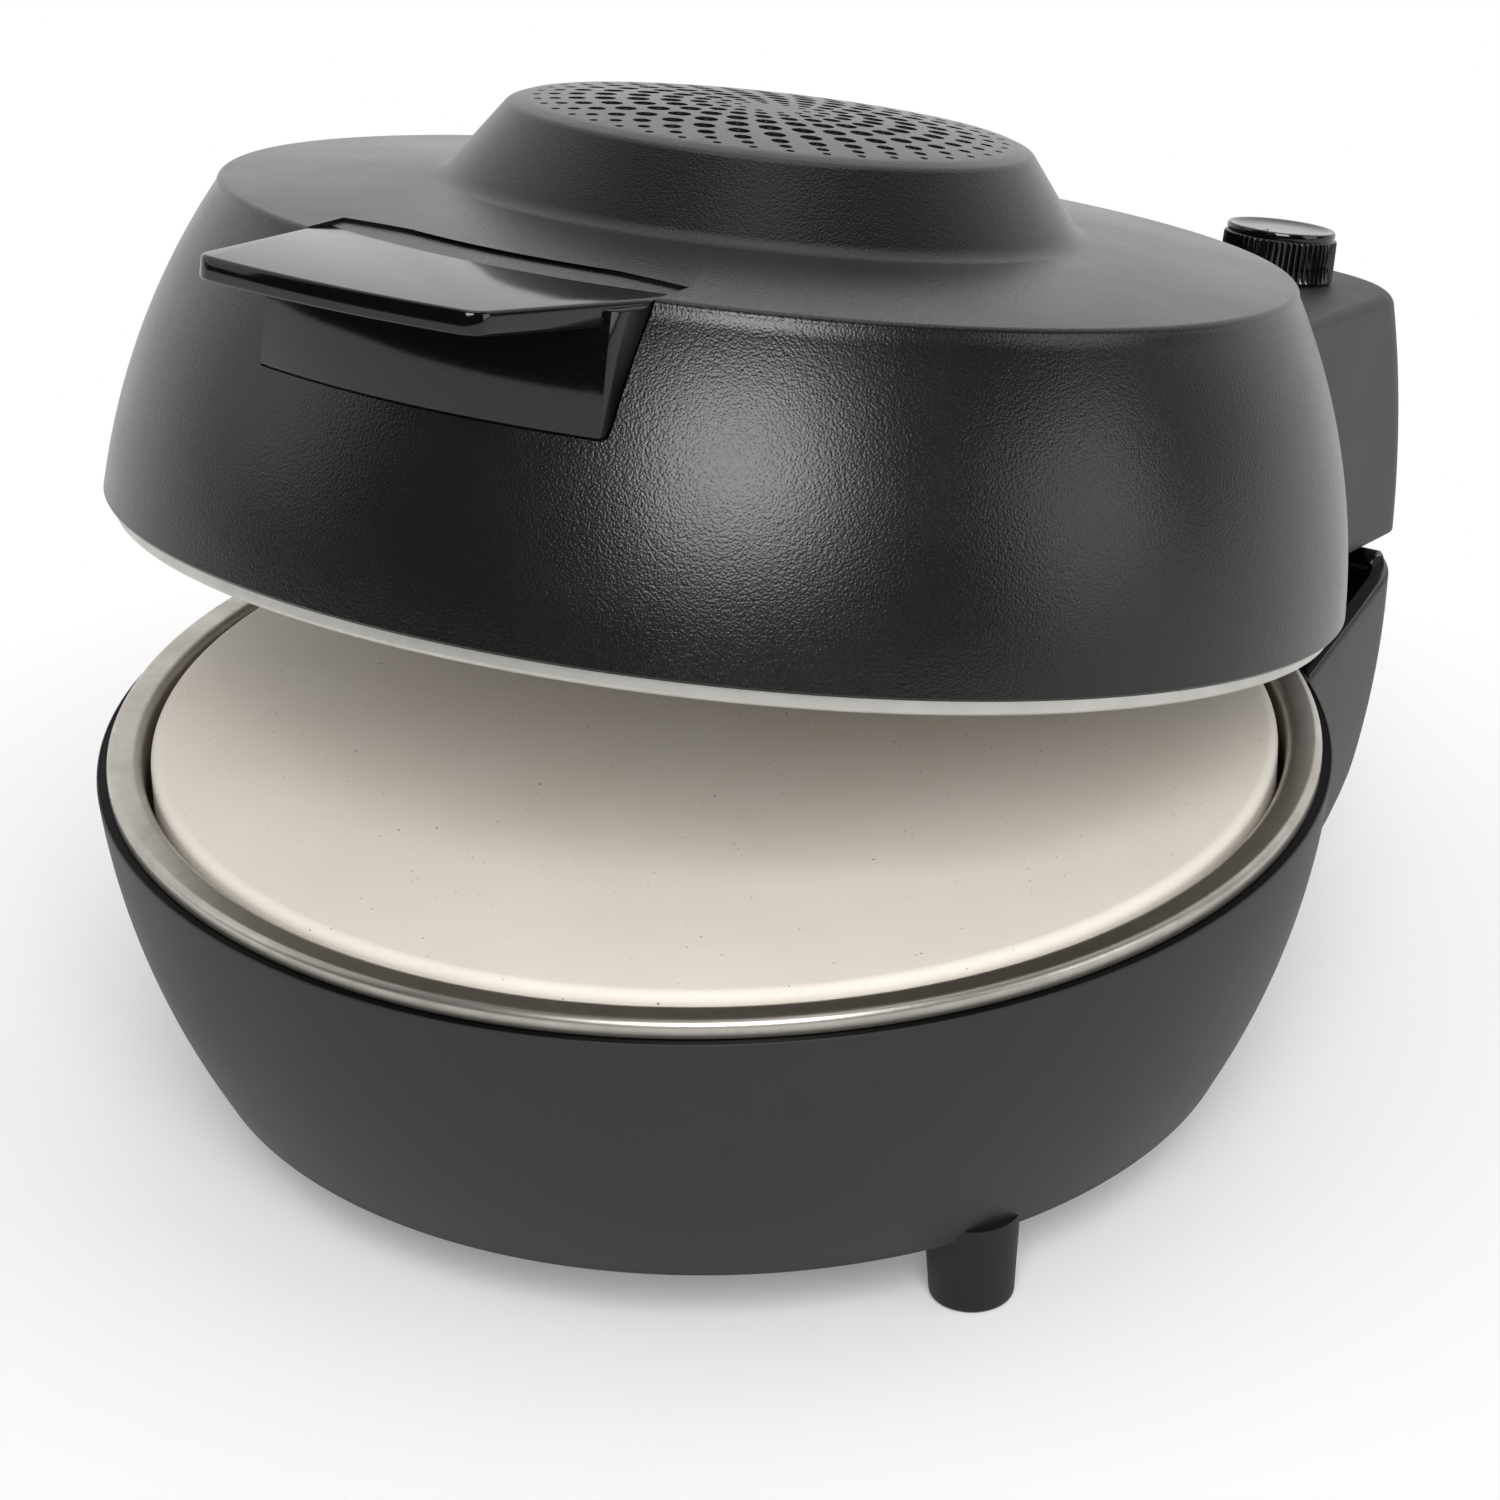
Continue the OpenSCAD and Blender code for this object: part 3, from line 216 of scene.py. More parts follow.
def finished(piece, body, material, slot, *nodes):
    """Shades a piece, and says what carries it, what it is made of and what it stands for."""
    for face in piece.data.polygons:
        face.use_smooth = True
    piece.data.set_sharp_from_angle(angle=CREASE)
    piece.data.materials.clear()
    piece.data.materials.append(material)
    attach(piece, body)
    if nodes:
        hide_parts(*nodes)
    print(piece.name, "has", len(piece.data.polygons), "faces and rides on", body)
    return piece


# %% [markdown]
# ## The camera
#
# The picture was taken from the right of the handle, a little above the lid. A long lens from a metre or so
# keeps the round shapes calm. Its place and its turn were worked out from the circles of the base and the
# lid.

# %% Camera
camera_data = bpy.data.cameras.new("camera")
camera_data.lens = 103.9
camera_data.sensor_width = 36
camera = bpy.data.objects.new("camera", camera_data)
CAMERA_TURN = math.radians(31.78)
CAMERA_TILT = math.radians(90 - 26.76)
CAMERA_ROLL = -0.0183
camera.matrix_world = (
    Matrix.Translation((0.57348, -0.90718, 0.52985))
    @ Matrix.Rotation(CAMERA_TURN, 4, "Z")
    @ Matrix.Rotation(CAMERA_TILT, 4, "X")
    @ Matrix.Rotation(CAMERA_ROLL, 4, "Z")
)
bpy.context.scene.collection.objects.link(camera)
bpy.context.scene.camera = camera
print("camera at", [round(value, 3) for value in camera.matrix_world.translation])

# %% [markdown]
# ## How a material is put together
#
# Colours are written as the hex values that a screen shows, and one function turns them into the linear
# numbers that the shader wants. Another adds a node with its settings and its links. A pattern's scale is
# the number of its features in a metre, so `per_metre(0.8)` gives grains 0.8 mm wide.

# %% Material helpers
def linear(code):
    """A hex colour as linear RGBA."""
    shares = [int(code[i : i + 2], 16) / 255 for i in (1, 3, 5)]
    return tuple(s / 12.92 if s <= 0.04045 else ((s + 0.055) / 1.055) ** 2.4 for s in shares) + (1,)


def per_metre(size):
    return 1 / (size * MM)


def add(tree, kind, inputs, **settings):
    """Adds a shader node. A socket among the inputs is linked, and a value is set."""
    made = tree.nodes.new("ShaderNode" + kind)
    for name, value in settings.items():
        setattr(made, name, value)
    for name, value in inputs.items():
        if isinstance(value, bpy.types.NodeSocket):
            tree.links.new(value, made.inputs[name])
        else:
            made.inputs[name].default_value = value
    return made


def surface(name, **inputs):
    """A new material: its tree, its main shader and its texture space, which moves with the piece."""
    material = bpy.data.materials.new(name)
    material.use_nodes = True
    tree = material.node_tree
    shader = tree.nodes["Principled BSDF"]
    for key, value in inputs.items():
        shader.inputs[key.replace("_", " ")].default_value = value
    space = add(tree, "TexCoord", {}).outputs["Object"]
    return material, tree, shader, space


def noise(tree, space, size, detail=2.0, roughness=0.5):
    """Noise whose features are about size millimetres wide."""
    made = add(tree, "TexNoise", {
        "Vector": space, "Scale": per_metre(size), "Detail": detail, "Roughness": roughness,
    })
    return made.outputs["Fac"]


def between(tree, value, low, high, low_to, high_to):
    """The value, with low..high stretched to low_to..high_to."""
    return add(tree, "MapRange", {
        "Value": value, "From Min": low, "From Max": high, "To Min": low_to, "To Max": high_to,
    }).outputs["Result"]


def mixed(tree, share, first, second):
    """A colour between two, by a share."""
    made = add(tree, "Mix", {0: share, 6: first, 7: second}, data_type="RGBA")
    return made.outputs[2]


def relief(tree, shader, height, depth):
    """Bumps of a depth in millimetres."""
    bump = add(tree, "Bump", {"Height": height, "Distance": depth * MM, "Strength": 1.0})
    tree.links.new(bump.outputs["Normal"], shader.inputs["Normal"])


def colour(tree, shader, value):
    tree.links.new(value, shader.inputs["Base Color"])


def gloss(tree, shader, value):
    tree.links.new(value, shader.inputs["Roughness"])


print("middle grey is", [round(value, 3) for value in linear("#808080")[:3]])

# %% [markdown]
# ## Moulded plastics
#
# The lid is black ABS from a spark-eroded mould. The sparks leave a skin of round pits, about half a
# millimetre wide, and the moulding comes out as a field of fine pebbles. They break a highlight up into
# small sparks, so the relief is made of small rounded cells rather than of soft noise. The base is the same
# plastic in a dark grey from a mould with a finer skin. The handle, the dial and the lining of the hinge
# well come from a polished mould, so they shine and show the soft waves of the plastic as it shrank.

# %% Plastic materials
def moulded(name, code, roughness, grain, depth, shine):
    """A moulded plastic with a pebbled skin: grain in millimetres across, depth in millimetres."""
    material, tree, shader, space = surface(name, IOR=1.5, Specular_IOR_Level=shine)
    bent = add(tree, "TexNoise", {"Vector": space, "Scale": per_metre(grain * 2), "Detail": 1.0})
    reach = grain * 0.8 * MM
    push = add(tree, "VectorMath", {0: bent.outputs["Color"], 3: reach}, operation="SCALE").outputs[0]
    moved = add(tree, "VectorMath", {0: space, 1: push}, operation="ADD").outputs[0]
    cells = add(tree, "TexVoronoi", {"Vector": moved, "Scale": per_metre(grain)}, feature="SMOOTH_F1")
    relief(tree, shader, cells.outputs["Distance"], -depth)
    cloud = noise(tree, space, 45, 4.0, 0.6)
    base = linear(code)
    lighter = tuple(min(1, value * 1.16) for value in base[:3]) + (1,)
    colour(tree, shader, mixed(tree, between(tree, cloud, 0.35, 0.65, 0, 1), base, lighter))
    gloss(tree, shader, between(tree, cloud, 0.3, 0.7, roughness - 0.03, roughness + 0.03))
    return material


def polished(name, code, roughness):
    """A moulded plastic from a polished mould: long shallow waves and faint wipe marks."""
    material, tree, shader, space = surface(name, IOR=1.5, Specular_IOR_Level=0.5)
    waves = noise(tree, space, 22, 1.0)
    relief(tree, shader, waves, 0.06)
    dust = noise(tree, space, 1.2, 5.0, 0.7)
    gloss(tree, shader, between(tree, dust, 0.35, 0.75, roughness, roughness + 0.06))
    base = linear(code)
    colour(tree, shader, mixed(tree, between(tree, dust, 0.6, 0.8, 0, 1), base, linear("#17181a")))
    return material


lid_plastic = moulded("spark_eroded_black_abs", "#100f0e", 0.28, 0.6, 0.08, 0.42)
base_plastic = moulded("fine_eroded_grey_abs", "#232421", 0.52, 0.5, 0.015, 0.32)
frame_plastic = moulded("fine_eroded_black_abs", "#050505", 0.5, 0.5, 0.01, 0.08)
gloss_plastic = polished("polished_black_abs", "#040404", 0.07)
foot_rubber = moulded("moulded_black_rubber", "#121212", 0.6, 0.5, 0.02, 0.35)
print("plastics:", [m.name for m in bpy.data.materials if "abs" in m.name])

# %% [markdown]
# ## Fired stone
#
# The stone is cordierite, pressed from a cream powder and fired. It is matt and slightly rough to the
# touch, with a few dark mineral specks and a very faint cloudiness where the powder lay thicker.

# %% Stone material
def fired_stone():
    material, tree, shader, space = surface("fired_cordierite", Roughness=0.82, Specular_IOR_Level=0.3)
    cloud = noise(tree, space, 60, 5.0, 0.6)
    body = mixed(tree, between(tree, cloud, 0.35, 0.65, 0, 1), linear("#ece4d9"), linear("#f1eae0"))
    grit = noise(tree, space, 0.9, 4.0, 0.7)
    body = mixed(tree, between(tree, grit, 0.3, 0.75, 0.0, 0.12), body, linear("#c9bfb0"))
    for size, threshold, code in ((3.2, 0.055, "#6b6258"), (9.0, 0.03, "#4c463f")):
        cells = add(tree, "TexVoronoi", {"Vector": space, "Scale": per_metre(size), "Randomness": 1.0})
        speck = between(tree, cells.outputs["Distance"], threshold, threshold * 1.8, 1, 0)
        sparse = add(tree, "SeparateColor", {"Color": cells.outputs["Color"]}).outputs["Red"]
        chosen = add(tree, "Math", {0: sparse, 1: 0.72}, operation="GREATER_THAN").outputs[0]
        share = add(tree, "Math", {0: speck, 1: chosen}, operation="MULTIPLY").outputs[0]
        share = add(tree, "Math", {0: share, 1: 0.75}, operation="MULTIPLY").outputs[0]
        body = mixed(tree, share, body, linear(code))
    colour(tree, shader, body)
    relief(tree, shader, noise(tree, space, 0.7, 6.0, 0.7), 0.05)
    return material


stone_material = fired_stone()
print("stone finish:", stone_material.name)

# %% [markdown]
# ## Metals
#
# The tray's flange is stainless sheet that was spun round a former, so fine turning lines follow the rim
# and small handling scratches cross them. The lid's inner dome is aluminised steel, paler and softer. A
# turned metal is drawn in round coordinates: the angle and the radius about the axis take the place of x
# and y. With 260 marks in a radian, the scratches are about 0.6 mm apart on the flange.

# %% Metal materials
MARKS_PER_RADIAN = 260.0


def sheet_metal(name, code, dark_code, roughness, line_size, scratch_depth, place):
    """Spun sheet: rings of fine lines, cloudy gloss and a few short scratches."""
    material, tree, shader, space = surface(name, Metallic=1.0)
    turned = add(tree, "Mapping", {
        "Vector": space,
        "Location": tuple(place.translation),
        "Rotation": tuple(place.to_euler()),
    }, vector_type="TEXTURE").outputs["Vector"]
    parts = add(tree, "SeparateXYZ", {"Vector": turned}).outputs
    flat = add(tree, "CombineXYZ", {"X": parts["X"], "Y": parts["Y"], "Z": 0.0}).outputs[0]
    radius = add(tree, "VectorMath", {0: flat}, operation="LENGTH").outputs["Value"]
    rings = add(tree, "CombineXYZ", {"X": radius, "Y": parts["Z"], "Z": 0.0}).outputs[0]
    lines = noise(tree, rings, line_size, 3.0, 0.7)
    angle = add(tree, "Math", {0: parts["X"], 1: parts["Y"]}, operation="ARCTAN2").outputs[0]
    hatch = add(tree, "CombineXYZ", {"X": angle, "Y": parts["Z"], "Z": 0.0}).outputs[0]
    marks = add(tree, "TexNoise", {
        "Vector": hatch, "Scale": MARKS_PER_RADIAN, "Detail": 4.0, "Roughness": 0.8,
    }).outputs["Fac"]
    cloud = noise(tree, space, 14, 4.0, 0.65)
    share = between(tree, cloud, 0.3, 0.7, 0, 1)
    colour(tree, shader, mixed(tree, share, linear(code), linear(dark_code)))
    streaks = between(tree, marks, 0.3, 0.7, -0.05, 0.06)
    patches = between(tree, cloud, 0.3, 0.7, -0.02, 0.03)
    worn = add(tree, "Math", {0: streaks, 1: patches}, operation="ADD").outputs[0]
    gloss(tree, shader, add(tree, "Math", {0: worn, 1: roughness}, operation="ADD").outputs[0])
    height = add(tree, "Math", {0: lines, 1: marks}, operation="ADD").outputs[0]
    relief(tree, shader, height, scratch_depth)
    return material


steel = sheet_metal("spun_stainless_steel", "#c4bfb7", "#b0aaa2", 0.36, 0.5, 0.006, BASE)
dome_steel = sheet_metal("spun_aluminised_steel", "#c9c7c1", "#bcbab4", 0.42, 0.8, 0.004, LID)


def plain_metal(name, code, roughness, grain):
    """Zinc plate, drawn tube or rolled sheet: cloudy gloss and a fine grain."""
    material, tree, shader, space = surface(name, Metallic=1.0)
    cloud = noise(tree, space, grain, 4.0, 0.6)
    base = linear(code)
    darker = tuple(value * 0.8 for value in base[:3]) + (1,)
    colour(tree, shader, mixed(tree, between(tree, cloud, 0.35, 0.7, 0, 1), base, darker))
    gloss(tree, shader, between(tree, cloud, 0.3, 0.7, roughness - 0.06, roughness + 0.08))
    relief(tree, shader, noise(tree, space, 0.5, 3.0), 0.01)
    return material


zinc = plain_metal("zinc_plated_steel", "#bdbcb6", 0.3, 3.0)
galvanised = plain_metal("galvanised_sheet", "#a9abab", 0.42, 9.0)
heater_skin = plain_metal("heat_darkened_steel_tube", "#5d5653", 0.45, 6.0)
copper = plain_metal("drawn_copper", "#b9764e", 0.32, 4.0)
print("metals:", zinc.name, galvanised.name, heater_skin.name, copper.name)

# %% [markdown]
# ## Materials inside
#
# Ceramic blocks are pressed and fired without glaze, the pad over the dome is mineral wool felt, and the
# leads have silicone sleeves.

# %% Inner materials
def rough_body(name, code, second, grain, depth, roughness):
    material, tree, shader, space = surface(name, Roughness=roughness, Specular_IOR_Level=0.3)
    share = between(tree, noise(tree, space, grain, 5.0, 0.7), 0.3, 0.7, 0, 1)
    colour(tree, shader, mixed(tree, share, linear(code), linear(second)))
    relief(tree, shader, noise(tree, space, grain, 5.0, 0.75), depth)
    return material


ceramic = rough_body("fired_steatite", "#e4dfd0", "#d6cfbd", 0.8, 0.03, 0.7)
felt = rough_body("mineral_wool_felt", "#dcd6c4", "#b8b09a", 1.5, 0.4, 0.95)
silicone = rough_body("silicone_sleeve", "#7d2f22", "#6b271c", 0.8, 0.02, 0.45)
print("inner materials:", ceramic.name, felt.name, silicone.name)

# %% [markdown]
# ## Plans with a round rear
#
# The fairing behind the base and the housing behind the lid share one kind of plan: two straight sides that
# close in a little towards the rear, a rear that follows a circle about the middle, and a rounding that
# touches both. The corner's centre follows from that: it lies one rounding inside the side and inside the
# circle.

# %% Plan of a rear body
SIDE_STEPS = 10
CORNER_STEPS = 14
REAR_STEPS = 24


def rear_plan(half_width, width_y, taper, rear_radius, corner_radius, front_y, inset):
    """A closed plan from the right front round the rear to the left front, moved inwards by inset."""
    slope = math.hypot(1, taper)
    side_angle = math.atan(taper)
    shift = half_width + taper * width_y - corner_radius * slope
    reach = rear_radius - corner_radius
    b = -2 * shift * taper
    root = math.sqrt(b * b - 4 * (1 + taper * taper) * (shift * shift - reach * reach))
    centre_y = (-b + root) / (2 * (1 + taper * taper))
    centre_x = shift - taper * centre_y
    rear_angle = math.atan2(centre_y, centre_x)
    radius = corner_radius - inset
    start_x = centre_x + radius * math.cos(side_angle)
    start_y = centre_y + radius * math.sin(side_angle)
    right = []
    for i in range(SIDE_STEPS):
        y = front_y + (start_y - front_y) * i / SIDE_STEPS
        right.append((start_x + (start_y - y) * taper, y))
    for i in range(CORNER_STEPS + 1):
        turn = side_angle + (rear_angle - side_angle) * i / CORNER_STEPS
        right.append((centre_x + radius * math.cos(turn), centre_y + radius * math.sin(turn)))
    for i in range(1, REAR_STEPS + 1):
        turn = rear_angle + (math.pi / 2 - rear_angle) * i / REAR_STEPS
        right.append(((rear_radius - inset) * math.cos(turn), (rear_radius - inset) * math.sin(turn)))
    left = [(-x, y) for x, y in reversed(right[:-1])]
    return right + left


def rings_of(plan_at, levels):
    """Rings at levels (height, inset), each from the plan at that height."""
    return [[(x, y, height) for x, y in plan_at(height, inset)] for height, inset in levels]


def spread(low, high, count):
    return [low + (high - low) * i / count for i in range(count + 1)]


def edge_levels(height, radius, direction, inset=0.0, steps=6):
    """Levels of a rounded edge that ends at a height. Direction 1 is an upper edge and -1 a lower one."""
    levels = []
    for i in range(1, steps + 1):
        turn = math.pi / 2 * i / steps
        drop = radius * (1 - math.sin(turn))
        levels.append((height - direction * drop, inset + radius * (1 - math.cos(turn))))
    return levels


def on_curve(points, height):
    """The radius of a curve of (radius, height) points at a height."""
    ordered = sorted(points, key=lambda point: point[1])
    if height <= ordered[0][1]:
        return ordered[0][0]
    for (r0, z0), (r1, z1) in zip(ordered, ordered[1:]):
        if height <= z1:
            return r0 + (r1 - r0) * (height - z0) / (z1 - z0)
    return ordered[-1][0]


def box_shape(low, high):
    """A block between two corners, to cut with."""
    ring = [(low[0], low[1]), (high[0], low[1]), (high[0], high[1]), (low[0], high[1])]
    return loft([[(x, y, z) for x, y in ring] for z in (low[2], high[2])])


# %% [markdown]
# ## The base
#
# The base is a bowl with a rear fairing, moulded in one piece. The fairing forms a pocket for the hinge:
# its two cheeks stand beside the housing and its rear is open, so that the housing can swing down into it.
# The bowl is turned, the fairing is lofted from plans that draw in towards the bottom, and the pocket is
# cut out.

# %% Bowl and fairing
RIM_R = 170.0
BOWL_DEPTH = 83.0
BOWL_WALL = 3.0
BOWL_FOOT = (146.4, -81.2)
BOWL_BULGE = 4.3
LIP_LOW = -1.2
RIM_STEP = 0.5

bowl_arc = arc(BOWL_FOOT, (RIM_R, 0), BOWL_BULGE, 24)
bowl_outside = [point for point in bowl_arc if point[1] < LIP_LOW]
bowl_inside = beside(bowl_outside, BOWL_WALL)
bowl = lathe(
    [(110, -BOWL_DEPTH), (144.6, -BOWL_DEPTH), (145.9, -82.4)]
    + bowl_outside
    + [(RIM_R - 0.06, -0.6), (RIM_R - 0.08, -0.25), (RIM_R - 0.25, -0.07), (RIM_R - 0.5, -0.02)]
    + [(RIM_R - 0.58, -0.1), (RIM_R - 0.6, -RIM_STEP), (RIM_R - BOWL_WALL, -RIM_STEP)]
    + [(r, z) for r, z in reversed(bowl_inside) if z > -79.5]
    + [(142.5, -80), (110, -80)]
)

FAIRING_DRAW = 12.8
FAIRING_BULGE = 2.8
FAIRING_FRONT_Y = 69
FAIRING_REAR_R = 232
FAIRING_CORNER = 36
LOW_CORNER_GAIN = 44
CORNER_TURN_Z = -62.0
FAIRING_EDGE = 2
CHEEK_HALF = 121.8
CHEEK_WIDE_Y = 172
CHEEK_TAPER = 0.125
CHEEK_LIP = 1.3
WELL_DEPTH = 69.5
WELL_HALF = 110.5
HOLLOW_LIP = 0.6
BOWL_LAP = 1.6
fairing_side = arc((-FAIRING_DRAW, -BOWL_DEPTH), (0, 0), FAIRING_BULGE, 20)


def fairing_plan(height, inset):
    """The plan at a height. Near the bottom its corners grow rounder."""
    pulled = inset - on_curve(fairing_side, height)
    low_share = max(0.0, min(1.0, (CORNER_TURN_Z - height) / (CORNER_TURN_Z + BOWL_DEPTH)))
    corner = FAIRING_CORNER + LOW_CORNER_GAIN * low_share ** 2
    return rear_plan(
        CHEEK_HALF, CHEEK_WIDE_Y, CHEEK_TAPER, FAIRING_REAR_R, corner, FAIRING_FRONT_Y, pulled
    )


wall_levels = [(z, 0) for z in spread(-BOWL_DEPTH + FAIRING_EDGE, -CHEEK_LIP, 16)]
fairing_levels = list(reversed(edge_levels(-BOWL_DEPTH, FAIRING_EDGE, -1))) + wall_levels[1:]
fairing_levels += edge_levels(0, CHEEK_LIP, 1)
hollow_levels = [(z, BOWL_WALL) for z in spread(-BOWL_DEPTH + BOWL_WALL, -HOLLOW_LIP, 16)]
hollow_levels += [(z, BOWL_WALL - HOLLOW_LIP) for z in (0, 2)]
well_room = box_shape((-WELL_HALF, 150, -WELL_DEPTH), (WELL_HALF, 260, 20))
bowl_room = lathe([(0, -100), (RIM_R - BOWL_LAP, -100), (RIM_R - BOWL_LAP, 20), (0, 20)])
fairing = mesh_object("Base_fairing", loft(rings_of(fairing_plan, fairing_levels)), BASE)
cut(fairing, loft(rings_of(fairing_plan, hollow_levels)), BASE)
cut(fairing, well_room, BASE)
cut(fairing, bowl_room, BASE)
finished(fairing, "base", base_plastic, "base_shell")
bowl_piece = mesh_object("Base_bowl", bowl, BASE)
finished(bowl_piece, "base", base_plastic, "base_shell", "base_shell")

# %% [markdown]
# A black frame lies on the bowl's edge, under the steel tray. Only its rim shows, as a dark line between
# the steel and the grey shell.

# %% Rim frame
FRAME_TOP = -0.25
FRAME_LEG = -14
FRAME_REST = -RIM_STEP - 0.1
rim = lathe(rounded([
    (163.2, FRAME_TOP, 0.3), (162.8, FRAME_LEG, 0.4), (164.8, FRAME_LEG, 0.4), (166.8, FRAME_REST, 0),
    (169.3, FRAME_REST, 0), (169.3, FRAME_TOP, 0.1),
]))
finished(mesh_object("Rim_frame", rim, BASE), "base", frame_plastic, "black_trim", "rim_frame")

# %% [markdown]
# The pocket has a polished black lining. Its edge folds over the grey cheek, so that a black band runs
# along the cheek with only a thin grey line outside it.

# %% Lining of the hinge well
LINER = 1.5
LINER_INSET = BOWL_WALL + 0.5
BOWL_GAP = 0.4
fold = [(0.02, LINER_INSET), (0.02, 0.9), (0.15, 0.75), (0.35, 0.75), (0.5, 0.9), (0.55, 1.3)]
lining_levels = [(z, LINER_INSET) for z in spread(-WELL_DEPTH - LINER, -0.3, 14)] + fold
lining_hollow = [(z, LINER_INSET + LINER) for z in spread(-WELL_DEPTH, 0.3, 14) + [3]]
lining = mesh_object("Well_lining", loft(rings_of(fairing_plan, lining_levels)), BASE)
cut(lining, loft(rings_of(fairing_plan, lining_hollow)), BASE)
outside_bowl = [(r + BOWL_GAP, z) for r, z in bowl_arc]
cut(lining, lathe([(0, -100), (146.7, -100)] + outside_bowl + [(RIM_R + BOWL_GAP, 5), (0, 5)]), BASE)
cut(lining, well_room, BASE)
finished(lining, "base", gloss_plastic, "gloss_black", "hinge_well_liner")

# %% [markdown]
# Between the hinge and each cheek a polished black cover closes the gap: a barrel on the hinge's axis,
# which the housing clears as it turns, and a shoulder in front of it.

# %% Hinge covers
BARREL_R = 5.4
BARREL_EDGE = 0.5
BARREL_INNER = 91.0
BARREL_STEPS = 48
SHOULDER_INNER = 97.0
COVER_OUTER = 112.6


def barrel(side):
    """A round bar along X on the hinge's axis, with rounded ends."""
    full = BARREL_R
    ends = ((BARREL_INNER, full - BARREL_EDGE), (BARREL_INNER + BARREL_EDGE, full),
            (COVER_OUTER - BARREL_EDGE, full), (COVER_OUTER, full - BARREL_EDGE))
    turns = [2 * math.pi * i / BARREL_STEPS for i in range(BARREL_STEPS)]
    return loft([
        [(side * x, HINGE_Y + r * math.cos(t), -HINGE_DROP + r * math.sin(t)) for t in turns] for x, r in ends
    ])


def shoulder(side):
    """A block in front of the barrel, rounded above."""
    side_face = rounded([(171, -34, 0), (194, -34, 0), (194, -5.5, 3), (171, -5.5, 5)], 8)
    return loft([[(side * x, y, z) for y, z in side_face] for x in (SHOULDER_INNER, COVER_OUTER)])


for name, side in (("right", 1), ("left", -1)):
    cover = mesh_object("Hinge_cover_" + name, together(barrel(side), shoulder(side)), BASE)
    finished(cover, "base", gloss_plastic, "gloss_black")

# %% [markdown]
# The feet are turned, taper to the table and have a soft lower edge.

# %% Feet
TABLE = -105.0
FOOT_RING = 138.0
FOOT_LOW_R = 11.2
FOOT_HIGH_R = 12.7


def foot(turn_degrees, top):
    profile = rounded([(0, TABLE, 0), (FOOT_LOW_R, TABLE, 2), (FOOT_HIGH_R, top, 0), (0, top, 0)])
    verts, faces = lathe(profile, 64)
    turn = math.radians(turn_degrees)
    x, y = FOOT_RING * math.sin(turn), -FOOT_RING * math.cos(turn)
    return [(vx + x, vy + y, vz) for vx, vy, vz in verts], faces


for name, turn_degrees, top in (("front_right", 60, -78.5), ("front_left", -60, -78.5), ("rear", 180, -82.5)):
    piece = mesh_object("Foot_" + name, foot(turn_degrees, top), BASE)
    finished(piece, "base", foot_rubber, "feet", "foot_" + name)

# %% [markdown]
# ## The tray and the stone
#
# The tray is one disc of steel, spun into a pan. Its flange rises from the pan to a flat band, which
# mirrors the dark lid, and rolls down on the outside, where it mirrors the floor and meets the black frame.
# The stone lies in it with a few millimetres to spare.

# %% Steel tray
SHEET = 0.8
PAN_R = 156.8
FLANGE_R = 167.0
FLANGE_H = 4.8
PAN_Z = -24.2
upper_face = rounded([
    (FLANGE_R, 0.05, 0), (FLANGE_R, FLANGE_H, 2.3), (PAN_R + 0.5, FLANGE_H - 0.15, 2.9),
    (PAN_R, PAN_Z, 1.6), (0, PAN_Z, 0),
], 9)
tray = lathe(upper_face + list(reversed(beside(upper_face, SHEET)))[:-1] + [(FLANGE_R - SHEET, 0.05)])
finished(mesh_object("Steel_tray", tray, BASE), "base", steel, "tray_steel", "steel_tray")

# %% Baking stone
STONE_R = 155.0
STONE_FLOOR = -8.5
stone = lathe(rounded([
    (0, STONE_FLOOR, 0), (STONE_R, STONE_FLOOR, 1.5), (STONE_R, STONE_RISE, 3.2), (0, STONE_RISE, 0),
], 10))
finished(mesh_object("Baking_stone", stone, BASE), "base", stone_material, "stone", "pizza_stone")

# %% [markdown]
# ## The lid
#
# The lid's wall leans in as it rises and bulges slightly, and it turns into an almost flat top through a
# tight rounding. It is turned as one thin shell, open in the middle where the vent cap sits.

# %% Lid shell
LID_R = 168.6
LID_H = 85.8
LID_WALL = 2.6
LID_TOP_R = 144.6
WALL_TOP = (144.9, 83.4)
WALL_BULGE = 5.04
CAP_FOOT_R = 85.6
CAP_FOOT_Z = 91.5
CAP_SEAT_R = 95.0
CAP_SEAT_Z = 89
TOP_SLOPE = (CAP_FOOT_Z - LID_H) / (LID_TOP_R - CAP_FOOT_R)
lid_wall = arc((LID_R, 0), WALL_TOP, WALL_BULGE, 28)


def top_height(r):
    """Height of the lid's gently sloping top."""
    return LID_H + (LID_TOP_R - r) * TOP_SLOPE


lid_top = rounded([
    (0, 0, 0), (*WALL_TOP, 0), (LID_TOP_R, LID_H, 2.0), (CAP_SEAT_R, top_height(CAP_SEAT_R), 0),
], 6)[1:]
lid_outside = [(LID_R, 0.7)] + [point for point in lid_wall if 1 < point[1] < 83] + lid_top
lid_inside = [(r, z) for r, z in beside(lid_outside, LID_WALL) if z > 1]
lid_shell = lathe(
    [(LID_R - 0.5, 0)] + lid_outside + [(CAP_SEAT_R, CAP_SEAT_Z), (79, CAP_SEAT_Z), (79, 86.6)]
    + list(reversed(lid_inside)) + [(LID_R - LID_WALL + 0.3, 0)]
)
lid_piece = mesh_object("Lid_shell", lid_shell, LID)
print("the lid shell has", len(lid_piece.data.polygons), "faces before the handle's seat is cut")

